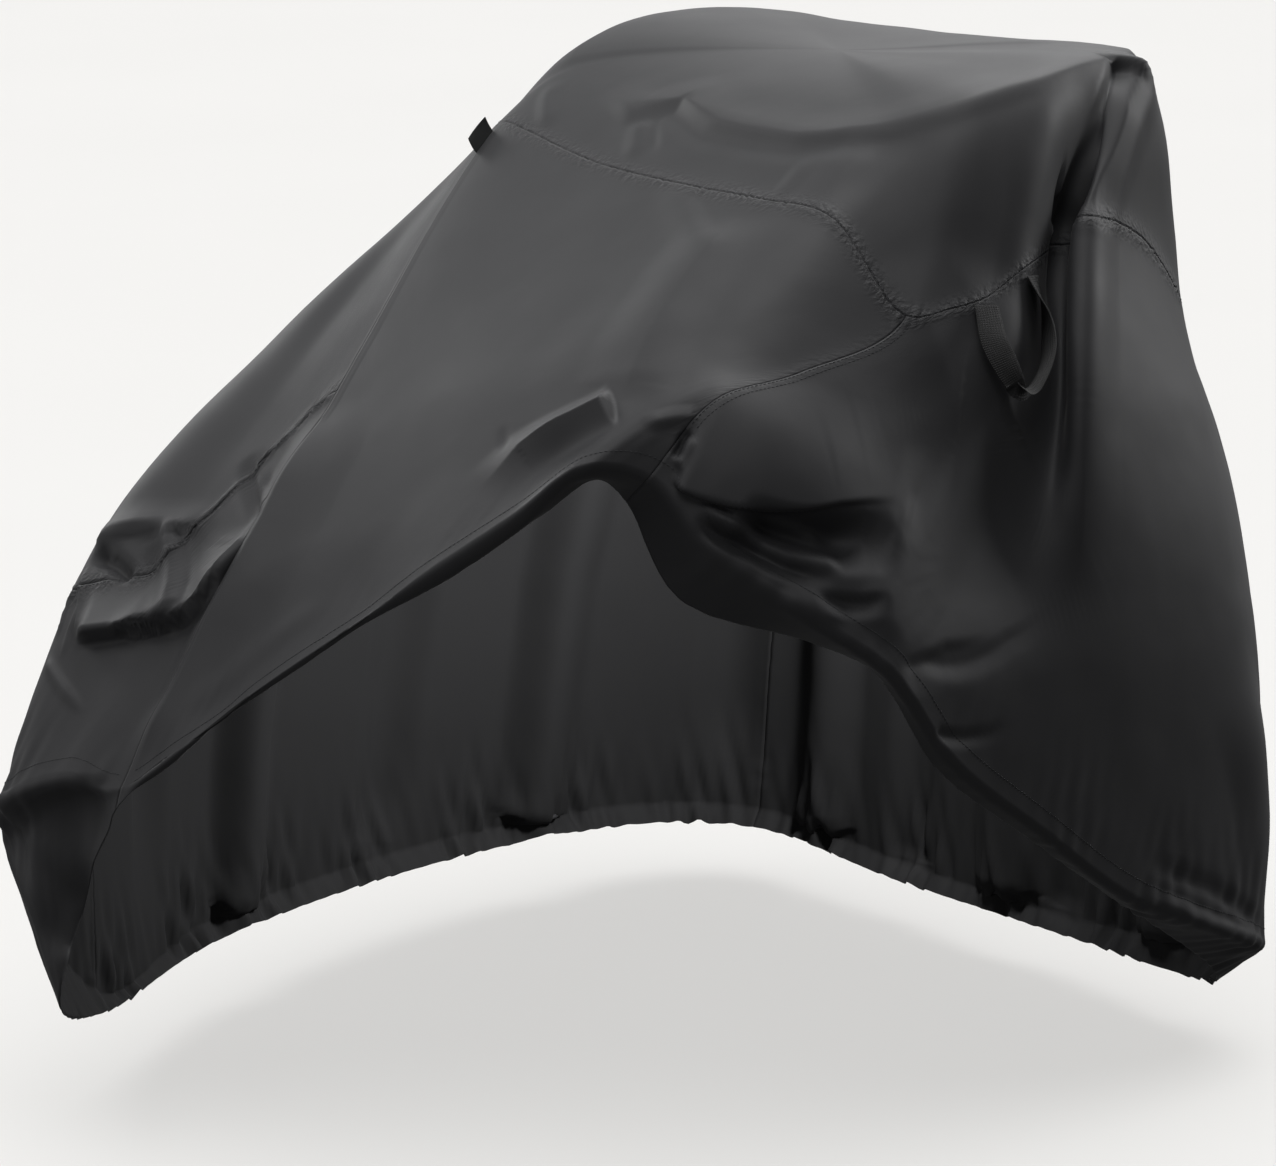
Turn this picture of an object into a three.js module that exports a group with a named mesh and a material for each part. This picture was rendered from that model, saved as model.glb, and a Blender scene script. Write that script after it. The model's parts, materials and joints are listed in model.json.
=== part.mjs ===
// A fitted weather cover hanging over its support, drawn as the draped cloth itself: a top panel,
// a sloping front in three panels, two side panels and a back, with a fabric pull loop and a bare tag.
//
// The cover is one continuous surface cut along its seams. Sections run from the middle of the top
// down to the hem, one after another round the cover, and each section is one row of SECTIONS.
// Millimetres, +Z up, the low front end towards -Y. The origin is the point under the top where the
// cover hangs on its support.
import * as THREE from 'three';

// Sizes
const CLOTH = 1.6; // thickness of the coated cloth
const SEAM_GAP = 0.4; // clear width between two panels along a seam
const HANG = [0, 205, 905]; // the origin, in the tables' lengths from mid width, base line and floor
const TOP_MIDDLE = [0, 70, 904]; // where all sections start
const TOP_FLATNESS = 0.6; // 0 is a puffed top, 1 a straight one, between the middle and the rim
const POLE_LEVEL = 0.35; // the top panel closes in a fan inside this level
const HEM_ROLL = 9; // radius over which a hem turns under
const SLOPE = 0.02; // step of the slope measurements, in sections or levels

// The cross seam runs along the knee and dips over the nose, by DIP levels at most. The dip grows over
// `rise` sections from `from`, and is gone again at the front seam after `fall` sections.
const DIP = {levels: 1.2, from: 18.4, rise: 2.2, fall: 1.15};

// Level numbers down a section
const SEAM = 2;
const KNEE = 3;
const FOLD = 5;
const EDGE = 6;

// Sections, anticlockwise seen from above. Every point is [x, y, z] with y from a base line across
// the rear and z from the floor: the rim of the top, the seam round the top panel, the knee, the low
// point and the fold line of the hem. Below the fold line the cloth turns under through `turn` degrees
// round `roll` and runs on, `tuck` millimetres in all. `cells` is the mesh width to the next row.
const SECTIONS = [
  {name: 'front_seam', rim: [-215, -60, 876], seam: [-231, -138, 832], knee: [-92, -436, 638],
    low: [-66, -545, 533], fold: [-68, -690, 330], turn: 20, tuck: 18, roll: HEM_ROLL, cells: 5},
  {name: 'front_1', rim: [-85, -78, 868], seam: [-62, -163, 815], knee: [-8, -432, 643],
    low: [14, -540, 540], fold: [34, -633, 426], turn: 150, tuck: 38, roll: HEM_ROLL, cells: 5},
  {name: 'front_2', rim: [30, -84, 866], seam: [78, -168, 811], knee: [88, -400, 670],
    low: [110, -490, 592], fold: [126, -573, 505], turn: 165, tuck: 46, roll: HEM_ROLL, cells: 5},
  {name: 'front_3', rim: [140, -86, 864], seam: [165, -168, 811], knee: [188, -330, 716],
    low: [206, -415, 653], fold: [214, -490, 589], turn: 160, tuck: 46, roll: HEM_ROLL, cells: 5},
  {name: 'front_4', rim: [205, -74, 870], seam: [245, -160, 803], knee: [262, -286, 725],
    low: [262, -374, 677], fold: [257, -448, 633], turn: 140, tuck: 40, roll: HEM_ROLL, cells: 5},
  {name: 'side_seam', rim: [245, -48, 884], seam: [318, -144, 726], knee: [312, -258, 693],
    low: [298, -343, 677], fold: [285, -397, 622], turn: 70, tuck: 55, roll: HEM_ROLL, cells: 7},
  {name: 'side_1', rim: [262, -22, 893], seam: [328, -107, 728], knee: [340, -210, 668],
    low: [350, -303, 623], fold: [338, -367, 562], turn: 55, tuck: 70, roll: HEM_ROLL, cells: 8},
  {name: 'side_2', rim: [270, 12, 900], seam: [334, -65, 736], knee: [360, -159, 638],
    low: [390, -238, 569], fold: [400, -297, 499], turn: 90, tuck: 46, roll: HEM_ROLL, cells: 8},
  {name: 'side_3', rim: [275, 52, 906], seam: [334, -19, 757], knee: [382, -109, 618],
    low: [412, -189, 523], fold: [425, -253, 462], turn: 110, tuck: 34, roll: HEM_ROLL, cells: 7},
  {name: 'side_valley', rim: [268, 110, 913], seam: [296, 66, 767], knee: [368, -8, 623],
    low: [420, -111, 477], fold: [432, -184, 372], turn: 80, tuck: 26, roll: HEM_ROLL, cells: 7},
  {name: 'side_crest', rim: [256, 160, 915], seam: [325, 67, 787], knee: [392, -3, 648],
    low: [428, -37, 466], fold: [436, -83, 293], turn: 80, tuck: 26, roll: HEM_ROLL, cells: 7},
  {name: 'side_4', rim: [243, 200, 916], seam: [300, 159, 761], knee: [385, 88, 618],
    low: [425, 72, 430], fold: [434, 33, 209], turn: 100, tuck: 36, roll: HEM_ROLL, cells: 6},
  {name: 'side_5', rim: [222, 212, 916], seam: [262, 254, 682], knee: [338, 213, 593],
    low: [392, 208, 420], fold: [412, 225, 120], turn: 68, tuck: 56, roll: HEM_ROLL, cells: 4},
  {name: 'rear_corner', rim: [150, 216, 912], seam: [190, 262, 730], knee: [270, 290, 550],
    low: [322, 292, 330], fold: [336, 272, 84], turn: 45, tuck: 40, roll: HEM_ROLL, cells: 4},
  {name: 'back_1', rim: [60, 216, 909], seam: [70, 264, 740], knee: [95, 292, 550],
    low: [115, 295, 320], fold: [120, 280, 62], turn: 35, tuck: 22, roll: HEM_ROLL, cells: 5},
  {name: 'back_2', rim: [-60, 216, 906], seam: [-70, 264, 740], knee: [-95, 292, 550],
    low: [-115, 295, 320], fold: [-120, 280, 62], turn: 35, tuck: 22, roll: HEM_ROLL, cells: 4},
  {name: 'far_corner', rim: [-150, 214, 905], seam: [-190, 262, 730], knee: [-270, 290, 550],
    low: [-320, 292, 330], fold: [-330, 275, 72], turn: 40, tuck: 24, roll: HEM_ROLL, cells: 3},
  {name: 'far_1', rim: [-222, 204, 908], seam: [-262, 205, 740], knee: [-345, 210, 560],
    low: [-395, 205, 350], fold: [-408, 190, 76], turn: 40, tuck: 24, roll: HEM_ROLL, cells: 4},
  {name: 'far_2', rim: [-250, 140, 915], seam: [-310, 60, 765], knee: [-392, 10, 575],
    low: [-425, -40, 370], fold: [-428, -60, 82], turn: 35, tuck: 24, roll: HEM_ROLL, cells: 5},
  {name: 'far_3', rim: [-262, 62, 911], seam: [-315, -40, 775], knee: [-362, -235, 600],
    low: [-372, -370, 390], fold: [-358, -400, 84], turn: 35, tuck: 24, roll: HEM_ROLL, cells: 4},
  {name: 'far_seam', rim: [-258, -5, 898], seam: [-300, -90, 795], knee: [-296, -345, 640],
    low: [-288, -540, 475], fold: [-240, -612, 90], turn: 40, tuck: 26, roll: HEM_ROLL, cells: 6},
  {name: 'nose_far', rim: [-242, -45, 884], seam: [-268, -118, 815], knee: [-228, -394, 667],
    low: [-246, -588, 500], fold: [-214, -722, 288], turn: 38, tuck: 180, roll: 7, cells: 6},
  {name: 'nose_near', rim: [-228, -55, 878], seam: [-250, -130, 824], knee: [-165, -430, 640],
    low: [-152, -558, 524], fold: [-135, -704, 332], turn: 46, tuck: 126, roll: 18, cells: 5},
];
const COUNT = SECTIONS.length;

// Panels of the skirt: from one section to another and from one level to another
const PANELS = [
  {name: 'front_panel', from: 0, to: 5, top: SEAM, bottom: EDGE},
  {name: 'near_side_panel', from: 5, to: 13, top: SEAM, bottom: EDGE},
  {name: 'back_panel', from: 13, to: 16, top: SEAM, bottom: EDGE},
  {name: 'far_side_panel', from: 16, to: 20, top: SEAM, bottom: EDGE},
  {name: 'nose_upper_panel', from: 20, to: 23, top: SEAM, bottom: KNEE},
  {name: 'nose_lower_panel', from: 20, to: 23, top: KNEE, bottom: EDGE},
];
const ROWS = [0, 4, 4, 7, 6, 7, 5]; // mesh rows above each level

// Folds: soft troughs (height below zero) and ridges along a path of [section, level] points.
// `left` and `right` are their half widths seen looking along the path from outside.
const FOLDS = [
  {name: 'valley', path: [[10.39, 1.11], [9.98, 1.61], [9.45, 2.03], [9.23, 2.36], [9.15, 2.89]],
    left: 40, right: 24, height: -9, start: 0.15, end: 0.35},
  {name: 'crest', path: [[10.81, 1.12], [10.21, 1.68], [10.06, 2.01], [10.02, 2.46], [10.0, 3.55]],
    left: 22, right: 55, height: 6, start: 0.1, end: 0.4},
  {name: 'roll', path: [[2.5, 4.17], [2.96, 4.19], [3.65, 4.15]],
    left: 22, right: 22, height: 24, start: 0.5, end: 0.06},
  {name: 'overhang', path: [[5.17, 4.93], [5.73, 4.55], [6.31, 4.1], [6.61, 3.67], [6.78, 3.22]],
    left: 46, right: 24, height: 15, start: 0.15, end: 0.3},
  {name: 'hollow_upper', path: [[5.63, 4.85], [6.26, 4.42], [6.84, 4.33]],
    left: 24, right: 28, height: -20, start: 0.3, end: 0.25},
  {name: 'corner_hollow', path: [[7.0, 4.84], [7.34, 4.55]],
    left: 22, right: 22, height: -16, start: 0.3, end: 0.3},
  {name: 'corner_ridge', path: [[7.25, 4.81], [7.44, 4.37], [7.49, 3.91], [7.51, 3.4]],
    left: 20, right: 42, height: 14, start: 0.1, end: 0.45},
  {name: 'rear_tuck', path: [[8.07, 4.96], [8.44, 4.45], [8.93, 4.12]],
    left: 22, right: 28, height: -9, start: 0.1, end: 0.5},
  {name: 'rear_bulge', path: [[11.7, 4.1], [12.1, 4.5], [12.4, 4.9]],
    left: 60, right: 60, height: 9, start: 0.4, end: 0.4},
  {name: 'nose_fold', path: [[21.53, 4.4], [22.24, 4.39], [22.79, 4.33], [22.94, 4.2], [22.84, 4.0]],
    left: 30, right: 20, height: 10, start: 0.2, end: 0.3},
  {name: 'nose_peak', path: [[21.29, 4.13], [21.89, 4.09]],
    left: 24, right: 24, height: 9, start: 0.3, end: 0.3},
  {name: 'elbow', path: [[20.8, 5.16], [21.5, 5.2], [22.1, 5.24], [22.93, 5.28]],
    left: 24, right: 60, height: -18, start: 0.2, end: 0.2},
  {name: 'curtain', path: [[21.41, 5.35], [21.59, 5.71], [21.22, 5.88]],
    left: 24, right: 26, height: -8, start: 0.3, end: 0.2},
  {name: 'back_corner_ridge', path: [[12.9, 1.3], [13.0, 3.2], [13.05, 5.6]],
    left: 40, right: 45, height: 7, start: 0.2, end: 0.2},
  {name: 'back_near_trough', path: [[13.2, 1.35], [13.35, 3.0], [13.5, 5.95]],
    left: 50, right: 60, height: -26, start: 0.4, end: 0.05},
  {name: 'back_near_ridge', path: [[13.9, 1.6], [14.0, 3.5], [14.1, 5.95]],
    left: 42, right: 42, height: 12, start: 0.25, end: 0.05},
  {name: 'back_middle_trough', path: [[14.5, 1.5], [14.45, 3.4], [14.35, 5.95]],
    left: 52, right: 52, height: -24, start: 0.4, end: 0.05},
  {name: 'back_far_ridge', path: [[15.05, 1.8], [15.0, 3.4], [14.95, 5.95]],
    left: 40, right: 44, height: 11, start: 0.25, end: 0.05},
  {name: 'back_far_trough', path: [[15.6, 1.35], [15.6, 3.2], [15.45, 5.95]],
    left: 55, right: 48, height: -24, start: 0.4, end: 0.05},
  {name: 'far_corner_ridge', path: [[16.5, 1.2], [16.4, 3.2], [16.3, 5.6]],
    left: 42, right: 48, height: 14, start: 0.15, end: 0.15},
  {name: 'far_rear_trough', path: [[17.2, 1.2], [17.45, 3.0], [17.7, 5.95]],
    left: 48, right: 60, height: -30, start: 0.4, end: 0.05},
  {name: 'far_rear_ridge', path: [[17.7, 1.5], [18.1, 3.2], [18.35, 5.5]],
    left: 44, right: 50, height: 14, start: 0.4, end: 0.1},
  {name: 'far_middle_trough', path: [[18.1, 1.3], [18.7, 3.0], [19.0, 5.9]],
    left: 44, right: 58, height: -28, start: 0.4, end: 0.05},
  {name: 'far_front_ridge', path: [[18.7, 1.8], [19.3, 3.4], [19.5, 5.0]],
    left: 40, right: 46, height: 12, start: 0.4, end: 0.2},
  {name: 'far_front_trough', path: [[18.9, 1.5], [19.6, 3.0], [19.95, 4.6]],
    left: 38, right: 42, height: -15, start: 0.4, end: 0.2},
];
const FOLD_STEPS = 8; // straight pieces per leg of a fold's path

// Pull loop: a flat band sewn to the side seam, as stations with their stand-off from the cloth
const LOOP_WIDTH = 24;
const LOOP_THICKNESS = 1.6;
const LOOP = [
  {section: 6.95, level: 2.06, out: 2.8, twist: 0},
  {section: 7.2, level: 2.25, out: 6, twist: 0},
  {section: 7.48, level: 2.44, out: 11, twist: 8},
  {section: 7.72, level: 2.58, out: 15, twist: 20},
  {section: 7.97, level: 2.66, out: 19, twist: 42},
  {section: 8.12, level: 2.6, out: 21, twist: 62},
  {section: 8.22, level: 2.48, out: 20, twist: 62},
  {section: 8.3, level: 2.34, out: 18, twist: 55},
  {section: 8.28, level: 2.2, out: 10, twist: 24},
  {section: 8.16, level: 2.07, out: 2.9, twist: 0},
];
const LOOP_CELLS = 4; // mesh pieces per leg of the loop

// Bare tag, sewn in where the front seam meets the top panel and standing out from the cloth
const TAG_TOP_LEVEL = 2.06;
const TAG_LENGTH = 33;
const TAG_REACH = 17;
const TAG_THICKNESS = 1.2;
const TAG_CLEAR = 0.6;

// Vectors
const add = (a, b) => [a[0] + b[0], a[1] + b[1], a[2] + b[2]];
const sub = (a, b) => [a[0] - b[0], a[1] - b[1], a[2] - b[2]];
const mul = (a, k) => [a[0] * k, a[1] * k, a[2] * k];
const dot = (a, b) => a[0] * b[0] + a[1] * b[1] + a[2] * b[2];
const cross = (a, b) => [
  a[1] * b[2] - a[2] * b[1],
  a[2] * b[0] - a[0] * b[2],
  a[0] * b[1] - a[1] * b[0],
];
const size = (a) => Math.hypot(a[0], a[1], a[2]);
const unit = (a) => mul(a, 1 / Math.max(size(a), 1e-9));
const mix = (a, b, w) => add(mul(a, 1 - w), mul(b, w));
const clamp = (x, low, high) => Math.min(Math.max(x, low), high);
const ease = (x) => {
  const c = clamp(x, 0, 1);
  return c * c * (3 - 2 * c);
};
const wrap = (i) => ((i % COUNT) + COUNT) % COUNT;

// Smooth curve from p1 to p2 with its neighbours p0 and p3, free of loops on uneven spacing
function curve(p0, p1, p2, p3, w) {
  const a = Math.sqrt(Math.max(size(sub(p1, p0)), 1e-6));
  const b = Math.sqrt(Math.max(size(sub(p2, p1)), 1e-6));
  const c = Math.sqrt(Math.max(size(sub(p3, p2)), 1e-6));
  const out = [];
  for (let k = 0; k < 3; k += 1) {
    const m1 = ((p1[k] - p0[k]) / a - (p2[k] - p0[k]) / (a + b) + (p2[k] - p1[k]) / b) * b;
    const m2 = ((p2[k] - p1[k]) / b - (p3[k] - p1[k]) / (b + c) + (p3[k] - p2[k]) / c) * b;
    out.push(
      (2 * w ** 3 - 3 * w ** 2 + 1) * p1[k] + (w ** 3 - 2 * w ** 2 + w) * m1
      + (3 * w ** 2 - 2 * w ** 3) * p2[k] + (w ** 3 - w ** 2) * m2,
    );
  }
  return out;
}

// The five points of a section below the middle of the top
const levels = SECTIONS.map((row) => [TOP_MIDDLE, row.rim, row.seam, row.knee, row.low, row.fold]);

// Direction down the cloth and the outward direction at each section's fold line
const hems = SECTIONS.map((row, i) => {
  const down = unit(sub(row.fold, row.low));
  const after = unit(sub(levels[wrap(i + 1)][FOLD], row.fold));
  const before = unit(sub(row.fold, levels[wrap(i - 1)][FOLD]));
  return {down, out: unit(cross(down, add(after, before)))};
});

// A point of the turned hem, w from the fold line to the edge
function hemPoint(i, w) {
  const row = SECTIONS[i];
  const turn = THREE.MathUtils.degToRad(row.turn);
  const arc = Math.min(row.roll * turn, row.tuck * 0.98);
  const bend = turn / arc;
  const run = w * row.tuck;
  const angle = Math.min(run, arc) * bend;
  const rest = Math.max(run - arc, 0);
  const along = Math.sin(angle) / bend + rest * Math.cos(turn);
  const inward = (1 - Math.cos(angle)) / bend + rest * Math.sin(turn);
  return add(row.fold, sub(mul(hems[i].down, along), mul(hems[i].out, inward)));
}

// A point of one section at a level
function sectionPoint(index, level) {
  const i = wrap(index);
  const t = clamp(level, 0, EDGE - 1e-9);
  const j = Math.floor(t);
  if (j >= FOLD) {
    return hemPoint(i, t - FOLD);
  }
  const points = levels[i];
  const opposite = mix(
    levels[wrap(i + Math.floor(COUNT / 2))][1],
    levels[wrap(i + Math.ceil(COUNT / 2))][1],
    0.5,
  );
  const before = j > 0 ? points[j - 1] : opposite;
  const after = j + 2 <= FOLD ? points[j + 2] : add(points[j + 1], mul(hems[i].down, 40));
  const round = curve(before, points[j], points[j + 1], after, t - j);
  return j === 0 ? mix(round, mix(points[0], points[1], t), TOP_FLATNESS) : round;
}

// The smooth cloth without its folds
function smoothPoint(s, t) {
  const i = Math.floor(s);
  return curve(
    sectionPoint(i - 1, t), sectionPoint(i, t), sectionPoint(i + 1, t), sectionPoint(i + 2, t), s - i,
  );
}

// Directions on a surface given as a function of section and level
function directions(surface, s, t) {
  const round = unit(sub(surface(s + SLOPE, t), surface(s - SLOPE, t)));
  const down = unit(sub(
    surface(s, Math.min(t + SLOPE, EDGE - 1e-6)),
    surface(s, Math.max(t - SLOPE, 1e-3)),
  ));
  return {round, down, out: unit(cross(down, round))};
}

const outward = (surface, s, t) => directions(surface, s, t).out;

// A fold's path as short straight pieces on the smooth cloth
const creases = FOLDS.map((fold) => {
  const stops = [];
  for (let k = 0; k + 1 < fold.path.length; k += 1) {
    for (let q = 0; q < FOLD_STEPS; q += 1) {
      const w = q / FOLD_STEPS;
      stops.push([0, 1].map((c) => fold.path[k][c] * (1 - w) + fold.path[k + 1][c] * w));
    }
  }
  stops.push(fold.path[fold.path.length - 1]);
  const points = stops.map(([s, t]) => smoothPoint(s, t));
  const lengths = [0];
  for (let k = 1; k < points.length; k += 1) {
    lengths.push(lengths[k - 1] + size(sub(points[k], points[k - 1])));
  }
  const total = lengths[lengths.length - 1];
  const pieces = [];
  for (let k = 0; k + 1 < points.length; k += 1) {
    pieces.push({
      start: points[k],
      leg: sub(points[k + 1], points[k]),
      out: outward(smoothPoint, ...stops[k]),
      from: lengths[k] / total,
      to: lengths[k + 1] / total,
    });
  }
  return {...fold, pieces, reach: Math.max(fold.left, fold.right)};
});

// How far the folds lift the cloth at a point of the smooth surface
function foldLift(point) {
  let lift = 0;
  for (const crease of creases) {
    let nearest = crease.reach;
    let side = 0;
    let along = 0;
    for (const piece of crease.pieces) {
      const offset = sub(point, piece.start);
      const w = clamp(dot(offset, piece.leg) / dot(piece.leg, piece.leg), 0, 1);
      const gap = sub(offset, mul(piece.leg, w));
      const distance = size(gap);
      if (distance < nearest) {
        nearest = distance;
        side = dot(cross(piece.leg, gap), piece.out);
        along = piece.from + (piece.to - piece.from) * w;
      }
    }
    const width = side > 0 ? crease.left : crease.right;
    if (nearest < width) {
      const shape = (1 - (nearest / width) ** 2) ** 2;
      lift += crease.height * shape * ease(along / crease.start) * ease((1 - along) / crease.end);
    }
  }
  return lift;
}

// The middle of the cloth, folds included
function clothPoint(s, t) {
  const point = smoothPoint(s, t);
  return add(point, mul(outward(smoothPoint, s, t), foldLift(point)));
}

// Level on the smooth cloth of a mesh row, which follows the dip of the cross seam
function rowLevel(s, t) {
  if (t <= SEAM || t >= FOLD) {
    return t;
  }
  const dip = DIP.levels * ease((s - DIP.from) / DIP.rise) * ease((COUNT - s) / DIP.fall);
  const knee = KNEE + dip;
  return t <= KNEE
    ? SEAM + ((t - SEAM) * (knee - SEAM)) / (KNEE - SEAM)
    : knee + ((t - KNEE) * (FOLD - knee)) / (FOLD - KNEE);
}

const rowPoint = (s, t) => clothPoint(s, rowLevel(s, t));

// Both faces of the cloth at a section and mesh row, in the part's own frame. `aside` and `below`
// are 1, 0 or -1: the way in which the cloth is drawn back from a seam.
function faces(s, t, aside = 0, below = 0) {
  const {round, down, out} = directions(rowPoint, s, t);
  const back = add(
    mul(unit(cross(out, down)), (aside * SEAM_GAP) / 2),
    mul(unit(cross(round, out)), (below * SEAM_GAP) / 2),
  );
  const middle = add(sub(rowPoint(s, t), HANG), back);
  const half = mul(out, CLOTH / 2);
  return {outer: add(middle, half), inner: sub(middle, half)};
}

// Materials
const coated = new THREE.MeshStandardMaterial({name: 'coated_cloth', color: 0x34363a, roughness: 0.5});
const webbing = new THREE.MeshStandardMaterial({name: 'webbing', color: 0x17181a, roughness: 0.85});
const woven = new THREE.MeshStandardMaterial({name: 'woven_tag', color: 0x101113, roughness: 0.8});

function toMesh(name, points, triangles, material) {
  const geometry = new THREE.BufferGeometry();
  geometry.setAttribute('position', new THREE.Float32BufferAttribute(points.flat(), 3));
  geometry.setIndex(triangles.flat());
  geometry.computeVertexNormals();
  const mesh = new THREE.Mesh(geometry, material);
  mesh.name = name;
  return mesh;
}

// Two triangles over the corners a, b, c, d, taken round the outside
const quad = (a, b, c, d) => [[a, b, c], [a, c, d]];

// Whether a cell's cloth lies nearer to the diagonal from its first corner than to the other one
function bendsForward(grid, columns, rows, i, j) {
  const next = (i + 1) % grid.length;
  const width = (columns[next] - columns[i] + COUNT) % COUNT;
  const target = sub(rowPoint(columns[i] + width / 2, (rows[j] + rows[j + 1]) / 2), HANG);
  const middle = (f, g) => mul(add(add(f.outer, f.inner), add(g.outer, g.inner)), 0.25);
  const forward = size(sub(middle(grid[i][j], grid[next][j + 1]), target));
  const other = size(sub(middle(grid[i][j + 1], grid[next][j]), target));
  return forward <= other;
}

// A closed sheet over the sections and levels given; `seams` says how far each point is drawn back,
// and with a pole the last column joins the first and a fan closes the top
function sheet(name, sections, levelsDown, seams, pole) {
  const grid = sections.map((s) => levelsDown.map((t) => faces(s, t, ...seams(s, t))));
  const closed = Boolean(pole);
  const columns = grid.length;
  const rows = grid[0].length;
  const layer = columns * rows;
  const at = (i, j) => (i % columns) * rows + j;
  const points = [...grid.flat().map((f) => f.outer), ...grid.flat().map((f) => f.inner)];
  const triangles = [];
  const spans = closed ? columns : columns - 1;
  for (let i = 0; i < spans; i += 1) {
    for (let j = 0; j + 1 < rows; j += 1) {
      const corners = [at(i, j), at(i, j + 1), at(i + 1, j + 1), at(i + 1, j)];
      if (!bendsForward(grid, sections, levelsDown, i, j)) {
        corners.push(corners.shift());
      }
      const [a, b, c, d] = corners;
      triangles.push(...quad(a, b, c, d));
      triangles.push(...quad(a + layer, d + layer, c + layer, b + layer));
    }
    const bottom = [at(i, rows - 1), at(i + 1, rows - 1)];
    triangles.push(...quad(bottom[0], bottom[0] + layer, bottom[1] + layer, bottom[1]));
    if (!pole) {
      triangles.push(...quad(at(i + 1, 0), at(i + 1, 0) + layer, at(i, 0) + layer, at(i, 0)));
    }
  }
  if (!closed) {
    const last = columns - 1;
    for (let j = 0; j + 1 < rows; j += 1) {
      triangles.push(...quad(at(0, j), at(0, j) + layer, at(0, j + 1) + layer, at(0, j + 1)));
      triangles.push(
        ...quad(at(last, j + 1), at(last, j + 1) + layer, at(last, j) + layer, at(last, j)),
      );
    }
  }
  if (pole) {
    const top = points.length;
    points.push(pole.outer, pole.inner);
    for (let i = 0; i < spans; i += 1) {
      triangles.push([top, at(i, 0), at(i + 1, 0)]);
      triangles.push([top + 1, at(i + 1, 0) + layer, at(i, 0) + layer]);
    }
  }
  return toMesh(name, points, triangles, coated);
}

// Section numbers of the mesh columns between two sections, and level numbers of the rows
function columnsBetween(from, to) {
  const list = [];
  for (let i = from; i < to; i += 1) {
    const {cells} = SECTIONS[wrap(i)];
    for (let k = 0; k < cells; k += 1) {
      list.push(i + k / cells);
    }
  }
  return [...list, to];
}

function rowsBetween(top, bottom) {
  const list = [];
  for (let level = top; level < bottom; level += 1) {
    for (let k = 0; k < ROWS[level + 1]; k += 1) {
      list.push(level + k / ROWS[level + 1]);
    }
  }
  return [...list, bottom];
}

// One panel of the skirt, drawn back from its seams
function skirtPanel({name, from, to, top, bottom}) {
  const seams = (s, t) => [
    Number(s === from) - Number(s === to),
    Number(t === top) - Number(t === bottom && bottom !== EDGE),
  ];
  return sheet(name, columnsBetween(from, to), rowsBetween(top, bottom), seams);
}

// The top panel, closed round the cover and over the middle
function topPanel() {
  const columns = columnsBetween(0, COUNT).slice(0, -1);
  const rows = [POLE_LEVEL, ...rowsBetween(0, SEAM).filter((t) => t > POLE_LEVEL)];
  const middle = sub(TOP_MIDDLE, HANG);
  const pole = {outer: add(middle, [0, 0, CLOTH / 2]), inner: sub(middle, [0, 0, CLOTH / 2])};
  return sheet('top_panel', columns, rows, (s, t) => [0, t === SEAM ? -1 : 0], pole);
}

// The pull loop, a closed flat band along its stations
function pullLoop() {
  const stations = [];
  for (let k = 0; k + 1 < LOOP.length; k += 1) {
    for (let q = 0; q < LOOP_CELLS; q += 1) {
      const w = q / LOOP_CELLS;
      const row = {};
      for (const key of ['section', 'level', 'out', 'twist']) {
        row[key] = curve(
          ...[k - 1, k, k + 1, k + 2].map((n) => [LOOP[clamp(n, 0, LOOP.length - 1)][key], n, 0]), w,
        )[0];
      }
      stations.push(row);
    }
  }
  stations.push(LOOP[LOOP.length - 1]);
  const middles = stations.map(({section, level, out}) => (
    sub(add(clothPoint(section, level), mul(outward(smoothPoint, section, level), out)), HANG)
  ));
  const points = [];
  stations.forEach(({section, level, twist}, k) => {
    const ahead = middles[Math.min(k + 1, middles.length - 1)];
    const along = unit(sub(ahead, middles[Math.max(k - 1, 0)]));
    const out = outward(smoothPoint, section, level);
    const flat = unit(cross(out, along));
    const lifted = unit(cross(along, flat));
    const angle = THREE.MathUtils.degToRad(twist);
    const wide = add(mul(flat, Math.cos(angle)), mul(lifted, Math.sin(angle)));
    const thick = cross(along, wide);
    for (const [a, b] of [[-1, -1], [1, -1], [1, 1], [-1, 1]]) {
      points.push(add(
        middles[k],
        add(mul(wide, (a * LOOP_WIDTH) / 2), mul(thick, (b * LOOP_THICKNESS) / 2)),
      ));
    }
  });
  const triangles = [...quad(3, 2, 1, 0)];
  for (let k = 0; k + 1 < stations.length; k += 1) {
    for (let c = 0; c < 4; c += 1) {
      const n = (c + 1) % 4;
      triangles.push(...quad(4 * k + c, 4 * k + n, 4 * (k + 1) + n, 4 * (k + 1) + c));
    }
  }
  const end = 4 * (stations.length - 1);
  triangles.push(...quad(end, end + 1, end + 2, end + 3));
  return toMesh('pull_loop', points, triangles, webbing);
}

// The bare tag, a thin upright plate along the front seam
function tag() {
  const top = clothPoint(0, TAG_TOP_LEVEL);
  const down = unit(sub(clothPoint(0, TAG_TOP_LEVEL + 0.15), top));
  const out = outward(smoothPoint, 0, TAG_TOP_LEVEL + 0.07);
  const upright = unit(sub(out, mul(down, dot(out, down))));
  const across = cross(down, upright);
  const geometry = new THREE.BoxGeometry(TAG_LENGTH, TAG_REACH, TAG_THICKNESS);
  const centre = add(
    sub(top, HANG),
    add(mul(down, TAG_LENGTH / 2), mul(upright, CLOTH / 2 + TAG_CLEAR + TAG_REACH / 2)),
  );
  const place = new THREE.Matrix4().makeBasis(
    new THREE.Vector3(...down), new THREE.Vector3(...upright), new THREE.Vector3(...across),
  );
  geometry.applyMatrix4(place.setPosition(new THREE.Vector3(...centre)));
  const mesh = new THREE.Mesh(geometry, woven);
  mesh.name = 'blank_tag';
  return mesh;
}

const group = new THREE.Group();
group.add(topPanel(), ...PANELS.map(skirtPanel), pullLoop(), tag());

export default group;
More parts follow.
